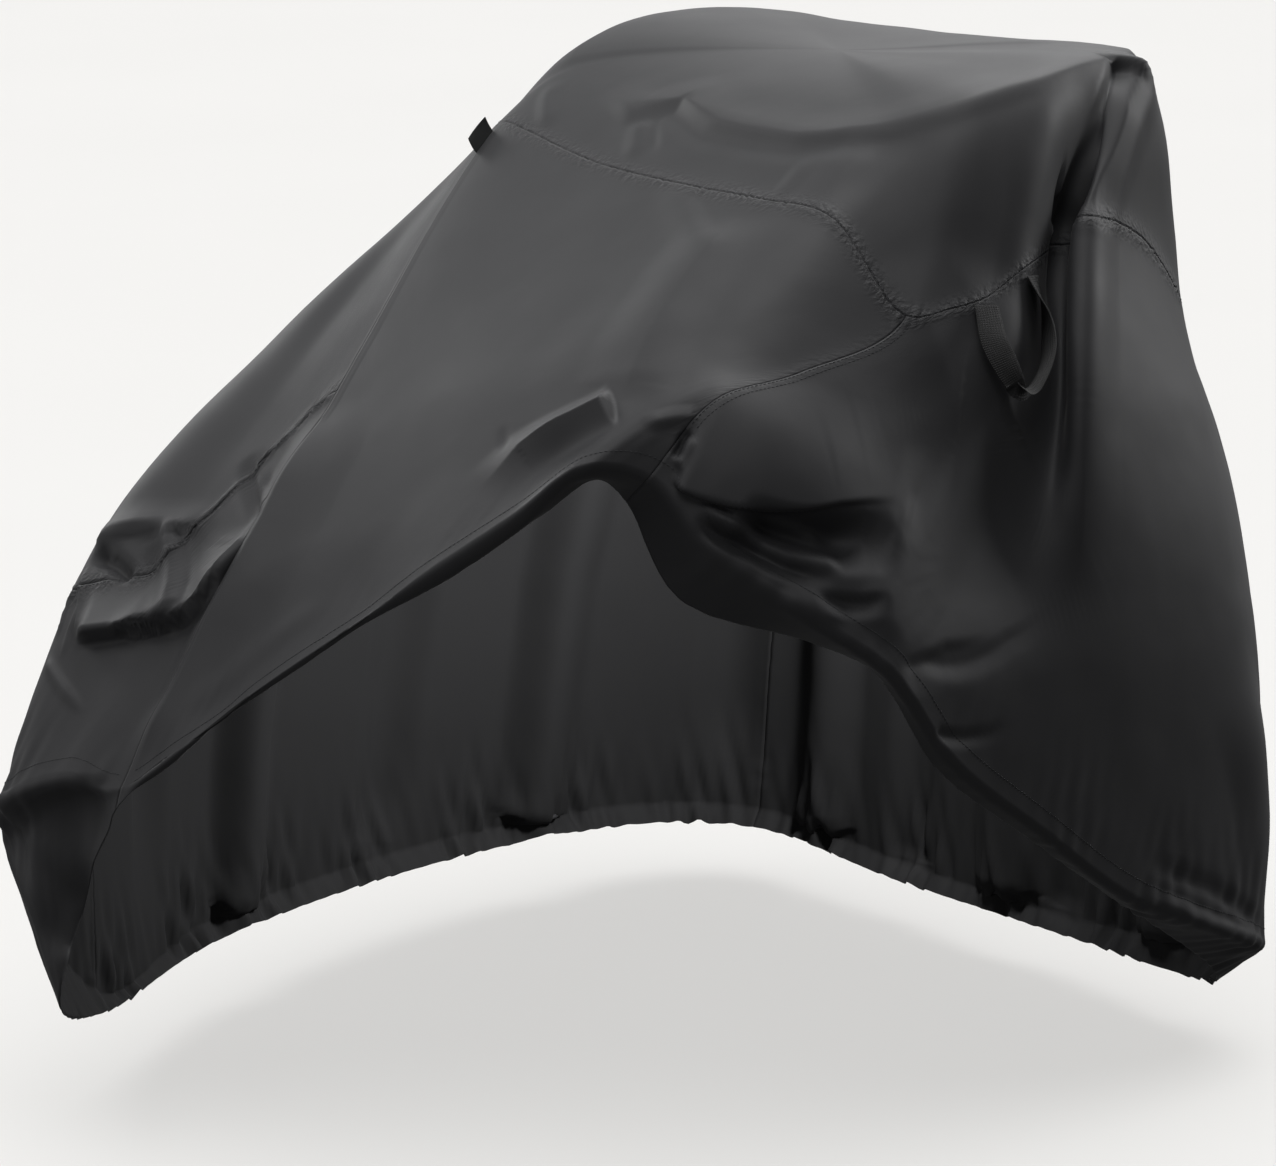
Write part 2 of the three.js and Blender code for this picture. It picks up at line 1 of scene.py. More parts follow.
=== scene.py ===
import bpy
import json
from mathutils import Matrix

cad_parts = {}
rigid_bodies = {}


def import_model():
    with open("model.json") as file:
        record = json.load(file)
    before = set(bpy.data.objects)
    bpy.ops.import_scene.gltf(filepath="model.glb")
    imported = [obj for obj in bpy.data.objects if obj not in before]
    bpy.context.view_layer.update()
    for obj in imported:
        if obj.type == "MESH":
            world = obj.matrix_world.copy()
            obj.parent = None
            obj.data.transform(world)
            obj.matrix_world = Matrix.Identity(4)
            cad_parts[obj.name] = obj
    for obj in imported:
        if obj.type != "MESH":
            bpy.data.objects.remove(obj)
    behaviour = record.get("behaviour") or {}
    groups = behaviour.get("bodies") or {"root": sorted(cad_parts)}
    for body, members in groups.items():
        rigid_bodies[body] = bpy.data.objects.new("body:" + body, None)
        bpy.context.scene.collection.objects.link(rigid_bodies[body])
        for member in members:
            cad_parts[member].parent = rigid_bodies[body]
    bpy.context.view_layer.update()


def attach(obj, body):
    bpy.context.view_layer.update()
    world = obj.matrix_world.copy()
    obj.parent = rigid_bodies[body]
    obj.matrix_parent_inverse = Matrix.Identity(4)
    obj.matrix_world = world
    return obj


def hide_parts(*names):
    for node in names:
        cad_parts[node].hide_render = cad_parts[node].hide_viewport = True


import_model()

import json
import math
from collections import namedtuple
from functools import lru_cache

import bpy
import numpy as np
from bpy.props import FloatProperty, FloatVectorProperty, PointerProperty
from mathutils import Matrix, Vector

bl_info = {
    "name": "Draped Weather Cover",
    "version": (1, 0, 0),
    "blender": (4, 5, 0),
    "location": "View3D > Sidebar > Cover",
    "description": "Builds a fitted weather cover as it hangs, with its sewing, stage and camera",
    "category": "Add Mesh",
}

MM = 0.001

# Heights are in millimetres over the floor, and lengths from mid width and from a line across the
# rear. HANG is the part's origin in them, the point under the top where the cover hangs.
HANG = np.array([0.0, 205.0, 905.0])
TOP_MIDDLE = (0, 70, 904)
TOP_FLATNESS = 0.6
TOP_OPENING = 0.05
SLOPE = 0.02

# Levels down a section: the rim of the top, the seam round it, the knee, the low point, the fold
# line of the hem and its edge
RIM, SEAM, KNEE, LOW, FOLD, EDGE = range(1, 7)

# The cross seam runs along the knee and dips over the nose by DIP_LEVELS at most. The dip grows
# over DIP_RISE sections from DIP_FROM, and is gone at the front seam after DIP_FALL sections.
DIP_LEVELS, DIP_FROM, DIP_RISE, DIP_FALL = 1.2, 18.4, 2.2, 1.15

# Sections of the smooth cloth, anticlockwise seen from above. Below its fold line the hem turns
# under through `turn` degrees round `roll` and runs on, `tuck` millimetres in all.
Section = namedtuple("Section", "name rim seam knee low fold turn tuck roll")
SECTIONS = tuple(Section(*row) for row in (
    ("front_seam", (-215, -60, 876), (-231, -138, 832), (-92, -436, 638), (-66, -545, 533),
     (-68, -690, 330), 20, 18, 9),
    ("front_1", (-85, -78, 868), (-62, -163, 815), (-8, -432, 643), (14, -540, 540),
     (34, -633, 426), 150, 38, 9),
    ("front_2", (30, -84, 866), (78, -168, 811), (88, -400, 670), (110, -490, 592),
     (126, -573, 505), 165, 46, 9),
    ("front_3", (140, -86, 864), (165, -168, 811), (188, -330, 716), (206, -415, 653),
     (214, -490, 589), 160, 46, 9),
    ("front_4", (205, -74, 870), (245, -160, 803), (262, -286, 725), (262, -374, 677),
     (257, -448, 633), 140, 40, 9),
    ("side_seam", (245, -48, 884), (318, -144, 726), (312, -258, 693), (298, -343, 677),
     (285, -397, 622), 70, 55, 9),
    ("side_1", (262, -22, 893), (328, -107, 728), (340, -210, 668), (350, -303, 623),
     (338, -367, 562), 55, 70, 9),
    ("side_2", (270, 12, 900), (334, -65, 736), (360, -159, 638), (390, -238, 569),
     (400, -297, 499), 90, 46, 9),
    ("side_3", (275, 52, 906), (334, -19, 757), (382, -109, 618), (412, -189, 523),
     (425, -253, 462), 110, 34, 9),
    ("side_valley", (268, 110, 913), (296, 66, 767), (368, -8, 623), (420, -111, 477),
     (432, -184, 372), 80, 26, 9),
    ("side_crest", (256, 160, 915), (325, 67, 787), (392, -3, 648), (428, -37, 466),
     (436, -83, 293), 80, 26, 9),
    ("side_4", (243, 200, 916), (300, 159, 761), (385, 88, 618), (425, 72, 430),
     (434, 33, 209), 100, 36, 9),
    ("side_5", (222, 212, 916), (262, 254, 682), (338, 213, 593), (392, 208, 420),
     (412, 225, 120), 68, 56, 9),
    ("rear_corner", (150, 216, 912), (190, 262, 730), (270, 290, 550), (322, 292, 330),
     (336, 272, 84), 45, 40, 9),
    ("back_1", (60, 216, 909), (70, 264, 740), (95, 292, 550), (115, 295, 320),
     (120, 280, 62), 35, 22, 9),
    ("back_2", (-60, 216, 906), (-70, 264, 740), (-95, 292, 550), (-115, 295, 320),
     (-120, 280, 62), 35, 22, 9),
    ("far_corner", (-150, 214, 905), (-190, 262, 730), (-270, 290, 550), (-320, 292, 330),
     (-330, 275, 72), 40, 24, 9),
    ("far_1", (-222, 204, 908), (-262, 205, 740), (-345, 210, 560), (-395, 205, 350),
     (-408, 190, 76), 40, 24, 9),
    ("far_2", (-250, 140, 915), (-310, 60, 765), (-392, 10, 575), (-425, -40, 370),
     (-428, -60, 82), 35, 24, 9),
    ("far_3", (-262, 62, 911), (-315, -40, 775), (-362, -235, 600), (-372, -370, 390),
     (-358, -400, 84), 35, 24, 9),
    ("far_seam", (-258, -5, 898), (-300, -90, 795), (-296, -345, 640), (-288, -540, 475),
     (-240, -612, 90), 40, 26, 9),
    ("nose_far", (-242, -45, 884), (-268, -118, 815), (-228, -394, 667), (-246, -588, 500),
     (-214, -722, 288), 38, 180, 7),
    ("nose_near", (-228, -55, 878), (-250, -130, 824), (-165, -430, 640), (-152, -558, 524),
     (-135, -704, 332), 46, 126, 18),
))
COUNT = len(SECTIONS)

# Mesh widths round the cover, and mesh rows above each level, closer together beside it
FINE_WIDTH = 3.5
PLAIN_WIDTH = 4.8
PLAIN_SECTIONS = range(13, 20)
ROWS = (0, 14, 27, 50, 42, 44, 15)
ROW_GRADING = 0.55

# Folds along a path of (section, level) points, seen from outside. `left` and `right` are the half
# widths in millimetres, `height` is below zero in a trough, `start` and `end` are the shares of the
# path over which it grows and dies. `sharp` runs from 0, a soft swell, to 1, a crisp line. `lean`
# moves the cloth to the left, so that a fold hangs over.
Fold = namedtuple("Fold", "name path left right height start end sharp lean", defaults=(0, 0))
FOLDS = tuple(Fold(*row) for row in (
    # Top and its rim
    ("rim", ((0.57, 1.14), (1.0, 1.31), (1.2, 1.13), (1.38, 0.97), (1.89, 1.22), (2.32, 1.21),
             (2.88, 1.17), (3.6, 1.04), (4.39, 1.03), (5.54, 1.02), (7.31, 1.0), (8.65, 0.98),
             (10.79, 0.94)), 44, 20, 4, 0.1, 0.08, 0.6),
    ("rim_dip", ((0.9, 1.36), (1.38, 1.14), (1.89, 1.36), (2.32, 1.36), (2.88, 1.32), (3.6, 1.22),
                 (4.39, 1.2), (5.54, 1.2)), 16, 26, -3, 0.1, 0.3),
    ("top_a", ((0.08, 1.2), (0.25, 1.55), (0.48, 1.91)), 16, 14, 2, 0.3, 0.3, 0.3),
    ("top_b", ((1.12, 1.36), (1.25, 1.9)), 14, 16, 1.5, 0.3, 0.3, 0.3),
    ("top_c", ((3.2, 1.4), (3.16, 1.7), (3.14, 2.02)), 18, 14, 1.5, 0.4, 0.4, 0.3),
    ("top_d", ((1.25, 1.25), (1.42, 1.78)), 10, 12, -1.2, 0.3, 0.3, 0.3),
    ("top_e", ((4.3, 1.15), (4.05, 1.5), (3.9, 1.92)), 24, 20, -1.8, 0.4, 0.4, 0.2),
    # Folds that fall from the top's rear corner
    ("valley", ((10.49, 1.04), (9.93, 1.32), (9.7, 1.59), (9.46, 1.83), (8.99, 2.0),
                (8.88, 2.25), (8.9, 2.6)), 38, 24, -15, 0.04, 0.35, 0),
    ("valley_edge", ((9.93, 1.02), (9.52, 1.52), (8.84, 1.84), (8.15, 2.01)),
     8, 44, 3.5, 0.2, 0.5, 0.8),
    ("crest", ((11.0, 1.04), (10.32, 1.34), (10.2, 1.68), (10.01, 1.88), (9.89, 2.1),
               (9.94, 2.45), (9.96, 3.0), (9.96, 3.46), (9.95, 3.9)),
     50, 24, 12, 0.04, 0.45, 0.8, -2),
    ("side_sag", ((6.9, 3.5), (8.0, 3.45), (9.1, 3.3)), 140, 150, -18, 0.35, 0.35, 0),
    # Front panel: the rolled hem and the folds beside it
    ("roll", ((2.44, 4.3), (2.53, 4.16), (2.63, 4.04), (2.79, 4.01), (3.05, 3.97), (3.38, 3.9)),
     28, 36, 19, 0.7, 0.03, 0.75, -7),
    ("slope_ridge", ((3.41, 3.89), (3.37, 3.67), (3.16, 2.99), (2.95, 2.48), (2.87, 2.13)),
     60, 50, 6, 0.15, 0.2, 0.5),
    ("pinch", ((2.3, 3.55), (2.42, 3.8), (2.5, 4.0)), 7, 8, -1.6, 0.4, 0.4, 0.2),
    ("front_light", ((1.46, 4.5), (0.83, 4.62), (0.28, 4.73)), 18, 18, 1.2, 0.3, 0.3, 0.2),
    ("front_turn", ((0.25, 5.0), (1.0, 5.0), (1.8, 5.0), (2.5, 4.95)), 120, 60, -8, 0.3, 0.3),
    ("front_edge", ((-0.01, 3.06), (0.04, 3.5), (0.11, 3.92), (0.1, 4.18), (0.07, 4.36),
                    (0.1, 4.59), (0.07, 4.8), (0.02, 5.2)), 70, 26, 12, 0.25, 0.2, 0.7),
    ("shoulder", ((1.62, 2.0), (1.94, 2.09), (3.15, 2.46)), 20, 30, 2.5, 0.3, 0.4, 0.3),
    ("roll_side", ((4.28, 4.42), (4.54, 4.36), (5.05, 4.23)), 12, 10, 3, 0.3, 0.2, 0.7),
    ("gather_dark", ((5.08, 4.39), (5.06, 4.51), (5.13, 4.72)), 7, 7, -8, 0.2, 0.2, 0.5),
    ("gather_light", ((5.11, 4.4), (5.15, 4.58), (5.18, 4.79)), 8, 6, 7, 0.2, 0.2, 0.7),
    # Near side: the lobe that hangs over the dark hollow, and the folds under it
    ("lobe", ((5.2, 4.5), (5.6, 3.9), (5.9, 3.3), (6.1, 2.7)), 60, 70, 3, 0.3, 0.4, 0),
    ("side_top", ((5.1, 2.25), (6.5, 2.12), (7.9, 2.05)), 80, 120, 7, 0.3, 0.4, 0),
    ("overhang", ((5.21, 4.9), (5.5, 4.75), (5.76, 4.58), (6.02, 4.37), (6.25, 4.19),
                  (6.48, 3.98), (6.75, 3.8), (7.1, 3.6)),
     110, 7, 12, 0.06, 0.55, 0.1, -7),
    ("hollow", ((5.88, 4.63), (6.32, 4.44), (6.66, 4.27), (6.95, 4.1), (7.2, 3.85)),
     26, 36, -28, 0.2, 0.4),
    ("hollow_ridge", ((5.75, 4.66), (6.05, 4.48), (6.4, 4.36), (6.72, 4.3)),
     9, 10, 6, 0.15, 0.2, 0.8),
    ("hollow_low", ((5.61, 4.98), (6.01, 4.83), (6.45, 4.76), (6.9, 4.6)),
     10, 14, -10, 0.2, 0.3, 0.3),
    ("strip", ((5.49, 4.9), (6.0, 4.7), (6.42, 4.62), (6.89, 4.42)), 12, 12, 10, 0.2, 0.15, 0.8),
    ("low_lobe", ((6.5, 5.1), (6.85, 4.9), (7.1, 4.8)), 16, 16, 4, 0.3, 0.3),
    ("small_hollow", ((6.72, 4.86), (7.02, 4.72), (7.25, 4.62), (7.5, 4.45)),
     8, 16, -7, 0.3, 0.3, 0.3),
    ("corner_ridge", ((7.3, 4.86), (7.48, 4.47), (7.6, 4.06), (7.66, 3.73), (7.7, 3.15),
                      (7.7, 2.72)), 26, 60, 6, 0.12, 0.5, 0),
    ("hollow_side", ((7.25, 4.3), (7.28, 3.9), (7.2, 3.5)), 10, 22, 3, 0.3, 0.4, 0.5),
    ("rear_tuck", ((8.07, 4.96), (8.44, 4.45), (8.93, 4.12)), 10, 30, -4, 0.15, 0.5, 0.7),
    ("side_crease", ((8.05, 4.81), (8.62, 4.46), (9.07, 4.13), (9.67, 3.9)),
     12, 16, -3, 0.25, 0.5, 0.6),
    ("hem_crease", ((8.67, 5.04), (9.08, 4.76), (9.39, 4.56)), 9, 12, -3.5, 0.1, 0.5, 0.7),
    ("rear_bulge", ((11.7, 4.1), (12.1, 4.5), (12.4, 4.9)), 60, 60, 9, 0.4, 0.4),
    ("low_right", ((10.99, 4.98), (11.3, 4.98), (11.52, 5.06), (12.28, 5.18)),
     12, 12, 4, 0.3, 0.3, 0.3),
    ("low_right_dip", ((11.0, 4.8), (11.5, 4.84), (12.2, 4.98)), 14, 12, -3, 0.3, 0.3),
    # Nose
    ("nose_fold", ((21.4, 4.41), (21.87, 4.41), (22.24, 4.39), (22.63, 4.35), (22.86, 4.29),
                   (22.92, 4.18), (22.92, 4.07), (22.84, 3.94)), 62, 7, 21, 0.1, 0.3, 0.9, -3),
    ("nose_left", ((21.45, 4.41), (21.3, 4.26), (21.09, 4.1)), 8, 10, 4, 0.2, 0.4, 0.6),
    ("nose_triangle", ((21.1, 4.06), (21.43, 4.13), (21.72, 4.22)), 14, 10, -13, 0.2, 0.2, 0.2),
    ("nose_right", ((21.76, 4.0), (22.03, 4.12), (22.35, 4.24), (22.6, 4.34)),
     12, 30, 10, 0.1, 0.1, 0.85),
    ("nose_peak", ((20.95, 4.02), (21.47, 3.98), (21.74, 4.0), (22.05, 4.01), (22.41, 4.02)),
     30, 7, 9, 0.15, 0.3, 0.85),
    ("nose_light", ((21.05, 4.42), (21.5, 4.58), (21.9, 4.72)), 7, 9, 3.5, 0.2, 0.4, 0.8),
    ("nose_edge_a", ((21.27, 4.26), (21.34, 4.47)), 4, 4, 2.5, 0.3, 0.3, 0.5),
    ("nose_edge_b", ((21.01, 4.19), (21.13, 4.38)), 4, 4, 2.5, 0.3, 0.3, 0.5),
    ("nose_upright", ((22.2, 3.51), (22.5, 3.69), (23.03, 4.0)), 11, 13, -5, 0.2, 0.4, 0.5),
    ("upright_ridge", ((22.51, 3.57), (23.08, 3.93)), 7, 9, 3, 0.3, 0.3, 0.6),
    ("elbow", ((20.8, 5.16), (21.5, 5.2), (22.1, 5.24), (22.93, 5.28)), 24, 60, -12, 0.2, 0.2),
    ("elbow_edge", ((20.9, 5.0), (21.5, 5.06), (22.1, 5.1), (22.93, 5.16)),
     8, 8, 3, 0.2, 0.2, 0.9),
    ("curtain", ((21.41, 5.35), (21.59, 5.71), (21.22, 5.88)), 24, 26, -8, 0.3, 0.2),
    # Back and far side
    ("back_corner_ridge", ((12.9, 1.3), (13.0, 3.2), (13.05, 5.6)), 40, 45, 7, 0.2, 0.2),
    ("back_near_trough", ((13.2, 1.35), (13.35, 3.0), (13.5, 5.95)), 50, 60, -26, 0.4, 0.05),
    ("back_near_ridge", ((13.9, 1.6), (14.0, 3.5), (14.1, 5.95)), 42, 42, 12, 0.25, 0.05),
    ("back_middle_trough", ((14.5, 1.5), (14.45, 3.4), (14.35, 5.95)), 52, 52, -24, 0.4, 0.05),
    ("back_far_ridge", ((15.05, 1.8), (15.0, 3.4), (14.95, 5.95)), 40, 44, 11, 0.25, 0.05),
    ("back_far_trough", ((15.6, 1.35), (15.6, 3.2), (15.45, 5.95)), 55, 48, -24, 0.4, 0.05),
    ("far_corner_ridge", ((16.5, 1.2), (16.4, 3.2), (16.3, 5.6)), 42, 48, 14, 0.15, 0.15),
    ("far_rear_trough", ((17.2, 1.2), (17.45, 3.0), (17.7, 5.95)), 48, 60, -30, 0.4, 0.05),
    ("far_rear_ridge", ((17.7, 1.5), (18.1, 3.2), (18.35, 5.5)), 44, 50, 14, 0.4, 0.1),
    ("far_middle_trough", ((18.1, 1.3), (18.7, 3.0), (19.0, 5.9)), 44, 58, -28, 0.4, 0.05),
    ("far_front_ridge", ((18.7, 1.8), (19.3, 3.4), (19.5, 5.0)), 40, 46, 12, 0.4, 0.2),
    ("far_front_trough", ((18.9, 1.5), (19.6, 3.0), (19.95, 4.6)), 38, 42, -15, 0.4, 0.2),
))
# Straight pieces that a path is drawn with between two points, on a narrow and on a wide fold
FOLD_STEPS, WIDE_STEPS, WIDE_FOLD = 8, 28, 75
# How fast a crisp fold falls away from its line: 1 would be a straight slope
CRISP_POWER = 1.4

# Sewn lines. A round one follows a level between two sections, and a down one follows a section
# between two levels. The cloth dips `groove` millimetres into the seam, or stands up if it is below
# zero, and beside it the layers lie double. It puckers by `pucker` over waves `wave` long, out to
# `reach`, and crinkles finely by the share `crinkle`.
Sewn = namedtuple("Sewn", "name kind at start end groove pucker wave reach crinkle")
SEWN = (
    Sewn("top_seam", "round", SEAM, 0, COUNT, 0.1, 0.8, 10, 8, 1.0),
    Sewn("cross_seam", "round", KNEE, 20, COUNT, 0.4, 2.1, 11, 12, 1.0),
    Sewn("front_seam", "down", 0, SEAM, 3.2, -0.7, 0.1, 20, 8, 0),
    Sewn("side_seam", "down", 5, SEAM, 4.5, 0.22, 0.12, 13, 7, 0.3),
    Sewn("rear_seam", "down", 13, SEAM, EDGE, 0.7, 0.5, 18, 10, 0.4),
    Sewn("far_rear_seam", "down", 16, SEAM, EDGE, 0.7, 0.5, 18, 10, 0.4),
    Sewn("far_seam", "down", 20, SEAM, EDGE, 0.7, 0.6, 16, 10, 0.4),
)
GROOVE_HALF = 1.6
# The layers lie double over LAP millimetres, as a share of the groove's depth, with soft edges
LAP, LAP_SHARE, LAP_EDGE = 7, 0.55, 2
# A seam's relief grows over the first levels or sections and stops short. Where it closes round the
# cover, its puckers calm down over some millimetres. Its crinkles reach a little past its puckers.
SEAM_START, SEAM_STOP, SEAM_CALM, CRINKLE_MORE = 0.12, 0.02, 40, 3
# Pucker and gather waves: shortest and longest share of their length, slant, and uneven patches
WAVE_SHARES, WAVE_SLANT, PATCH_DEPTH, PATCH_SHARE = (0.75, 1.55), 0.45, 0.4, 0.9

# How much the elastic gathers the hem at each section, in millimetres of wave height
GATHERS = (0.3, 0.1, 0.1, 0.1, 0.2, 0.3, 0.4, 0.3, 0.3, 0.3, 0.4, 0.8, 2, 4, 5, 5, 5, 5, 5, 5, 4,
           1.5, 0.6)
# Length of the waves, and how far they reach above the fold line and below it
GATHER_WAVE, GATHER_REACH, GATHER_BELOW, GATHER_CALM = 26, 62, 160, 30

# Lumps of the whole cloth: size and height in millimetres
LUMPS = ((120, 1.3), (52, 0.6), (24, 0.18))
LUMP_SEED, SEAM_SEED, GATHER_SEED = 3, 11, 31

# Rows of stitches: seam, distance from it, first and last place along it in levels or sections
Row = namedtuple("Row", "seam offset start end")
STITCH_ROWS = (
    Row("side_seam", 1.8, 2.02, 4.4),
    Row("side_seam", 8.0, 2.02, 4.4),
    Row("top_seam", -2.2, 0.02, 22.95),
    Row("cross_seam", 2.4, 20.03, 22.93),
    Row("rear_seam", 2.2, 2.02, 4.95),
    Row("far_rear_seam", 2.2, 2.02, 4.95),
    Row("far_seam", 2.2, 2.02, 4.95),
    Row("hem", -13, 0.05, 22.95),
)
STITCH_PITCH, STITCH_LENGTH, STITCH_WIDTH = 4.2, 3.1, 0.75
STITCH_LIFT, STITCH_HALF = 0.12, 1.5
# Mesh columns on each side of a seam in which a row of sewing beside it is looked for
SEAM_COLUMNS = 24

# Pull loop: stations of the webbing on the cloth beside the side seam, with their stand-off in
# millimetres, twist in degrees and share of the width that is left where it is pinched
Station = namedtuple("Station", "section level out twist wide")
LOOP = (
    Station(6.95, 2.06, 2.8, 0, 1), Station(7.16, 2.2, 7, 0, 1), Station(7.4, 2.36, 12, 6, 1),
    Station(7.68, 2.51, 16, 18, 0.95), Station(7.92, 2.63, 19, 42, 0.75),
    Station(8.06, 2.68, 21, 72, 0.5), Station(8.17, 2.6, 20, 72, 0.65),
    Station(8.27, 2.46, 18, 60, 0.85), Station(8.3, 2.28, 12, 30, 1),
    Station(8.16, 2.07, 2.9, 0, 1),
)
LOOP_THICKNESS, LOOP_CUP = 1.6, 0.55
LOOP_CELLS, LOOP_EDGE_CELLS, LOOP_FLAT_CELLS = 8, 4, 8

# Bare tag beside the top of the front seam, sewn in along one long edge
TAG_TOP_LEVEL, TAG_NEXT_LEVEL = 2.06, 0.15
TAG_LENGTH, TAG_REACH, TAG_THICKNESS, TAG_CLEAR, TAG_CURL = 33, 17, 1.1, 1.4, 2.2
TAG_COLUMNS, TAG_ROWS = 15, 9

# The cloth's pieces: from one section to another, from one level to another, and the size that each
# was cut to, with its flat area in square metres
Panel = namedtuple("Panel", "name start end top bottom flat area with_pieces")
PANELS = (
    Panel("front_panel", 0, 5, SEAM, EDGE, (0.58, 0.72), 0.245, ("blank_tag_cloth",)),
    Panel("near_side_panel", 5, 13, SEAM, EDGE, (0.92, 0.78), 0.389,
          ("pull_loop_webbing", "stitches")),
    Panel("back_panel", 13, 16, SEAM, EDGE, (0.86, 0.74), 0.401, ()),
    Panel("far_side_panel", 16, 20, SEAM, EDGE, (0.98, 0.82), 0.599, ()),
    Panel("nose_upper_panel", 20, 23, SEAM, KNEE, (0.30, 0.52), 0.099, ()),
    Panel("nose_lower_panel", 20, 23, KNEE, EDGE, (0.32, 0.56), 0.108, ()),
)


def unit(vectors):
    return vectors / np.maximum(np.linalg.norm(vectors, axis=-1, keepdims=True), 1e-9)


def ease(x):
    c = np.clip(x, 0, 1)
    return c * c * (3 - 2 * c)


def index_of(values, value):
    """Index of the entry that lies nearest to a value."""
    return int(np.argmin(abs(values - value)))


def running_length(points, axis=0):
    """Length along a line of points, or along each line of a grid, from zero at its start."""
    steps = np.linalg.norm(np.diff(points, axis=axis), axis=-1)
    return np.insert(np.cumsum(steps, axis=axis), 0, 0, axis=axis)


CORNERS = np.array([[TOP_MIDDLE, r.rim, r.seam, r.knee, r.low, r.fold] for r in SECTIONS], float)
TURN = np.radians([r.turn for r in SECTIONS])
TUCK = np.array([r.tuck for r in SECTIONS], float)
ROLL = np.array([r.roll for r in SECTIONS], float)
FOLD_LINE = CORNERS[:, FOLD]
HEM_DOWN = unit(FOLD_LINE - CORNERS[:, LOW])
HEM_OUT = unit(np.cross(
    HEM_DOWN,
    unit(np.roll(FOLD_LINE, -1, 0) - FOLD_LINE) + unit(FOLD_LINE - np.roll(FOLD_LINE, 1, 0)),
))


def curve(p0, p1, p2, p3, w):
    """Points of a smooth curve from p1 to p2, free of loops on uneven spacing."""
    def root(p, q):
        return np.sqrt(np.maximum(np.linalg.norm(q - p, axis=-1, keepdims=True), 1e-6))
    a, b, c = root(p0, p1), root(p1, p2), root(p2, p3)
    m1 = ((p1 - p0) / a - (p2 - p0) / (a + b) + (p2 - p1) / b) * b
    m2 = ((p2 - p1) / b - (p3 - p1) / (b + c) + (p3 - p2) / c) * b
    w = w[..., None]
    return ((2 * w**3 - 3 * w**2 + 1) * p1 + (w**3 - 2 * w**2 + w) * m1
            + (3 * w**2 - 2 * w**3) * p2 + (w**3 - w**2) * m2)


def hem_point(i, w):
    """Points of the turned hem of section i, w from its fold line to its edge."""
    arc = np.minimum(ROLL[i] * TURN[i], TUCK[i] * 0.98)
    bend = TURN[i] / arc
    run = w * TUCK[i]
    angle = np.minimum(run, arc) * bend
    rest = np.maximum(run - arc, 0)
    along = np.sin(angle) / bend + rest * np.cos(TURN[i])
    inward = (1 - np.cos(angle)) / bend + rest * np.sin(TURN[i])
    return FOLD_LINE[i] + HEM_DOWN[i] * along[..., None] - HEM_OUT[i] * inward[..., None]


def section_point(index, level):
    """Points of whole sections at any level."""
    i = np.mod(index, COUNT)
    t = np.clip(level, 0, EDGE - 1e-9)
    w = t - np.floor(t)
    j = np.minimum(np.floor(t).astype(int), LOW)
    opposite = (CORNERS[np.mod(i + COUNT // 2, COUNT), RIM]
                + CORNERS[np.mod(i + (COUNT + 1) // 2, COUNT), RIM]) / 2
    before = np.where((j > 0)[..., None], CORNERS[i, np.maximum(j - 1, 0)], opposite)
    start, stop = CORNERS[i, j], CORNERS[i, j + 1]
    after = np.where((j + 2 <= FOLD)[..., None], CORNERS[i, np.minimum(j + 2, FOLD)],
                     stop + HEM_DOWN[i] * 40)
    points = curve(before, start, stop, after, w)
    share = np.stack([w, w, w**2], -1)
    straight = start + (stop - start) * share
    top = points * (1 - TOP_FLATNESS) + straight * TOP_FLATNESS
    points = np.where((j == 0)[..., None], top, points)
    return np.where((t >= FOLD)[..., None], hem_point(i, w), points)


def smooth_point(s, t):
    """Points of the cloth without its folds."""
    s, t = np.broadcast_arrays(np.asarray(s, float), np.asarray(t, float))
    i = np.floor(s).astype(int)
    around = [section_point(i + k, t) for k in (-1, 0, 1, 2)]
    return curve(*around, s - i)


def row_level(s, t):
    """Level on the smooth cloth of a mesh row, which follows the dip of the cross seam."""
    knee = KNEE + DIP_LEVELS * ease((s - DIP_FROM) / DIP_RISE) * ease((COUNT - s) / DIP_FALL)
    above = SEAM + (t - SEAM) * (knee - SEAM) / (KNEE - SEAM)
    below = knee + (t - KNEE) * (FOLD - knee) / (FOLD - KNEE)
    return np.where((t <= SEAM) | (t >= FOLD), t, np.where(t <= KNEE, above, below))


def smooth_outward(s, t):
    round_way = smooth_point(s + SLOPE, t) - smooth_point(s - SLOPE, t)
    down = (smooth_point(s, np.minimum(t + SLOPE, EDGE - 1e-6))
            - smooth_point(s, np.maximum(t - SLOPE, 1e-3)))
    return unit(np.cross(down, round_way))


def grid_outward(points):
    """Outward directions of a grid that closes round the cover."""
    round_way = np.roll(points, -1, 0) - np.roll(points, 1, 0)
    return unit(np.cross(np.gradient(points, axis=1), round_way))


def fold_path(fold):
    """A fold's path as short straight pieces on the smooth cloth."""
    path = np.array(fold.path, float)
    steps = WIDE_STEPS if max(fold.left, fold.right) > WIDE_FOLD else FOLD_STEPS
    stops = [a + (b - a) * q / steps for a, b in zip(path[:-1], path[1:]) for q in range(steps)]
    stops = np.array(stops + [path[-1]])
    points = smooth_point(stops[:, 0], stops[:, 1])
    lengths = running_length(points)
    return points, smooth_outward(stops[:, 0], stops[:, 1]), lengths / lengths[-1]


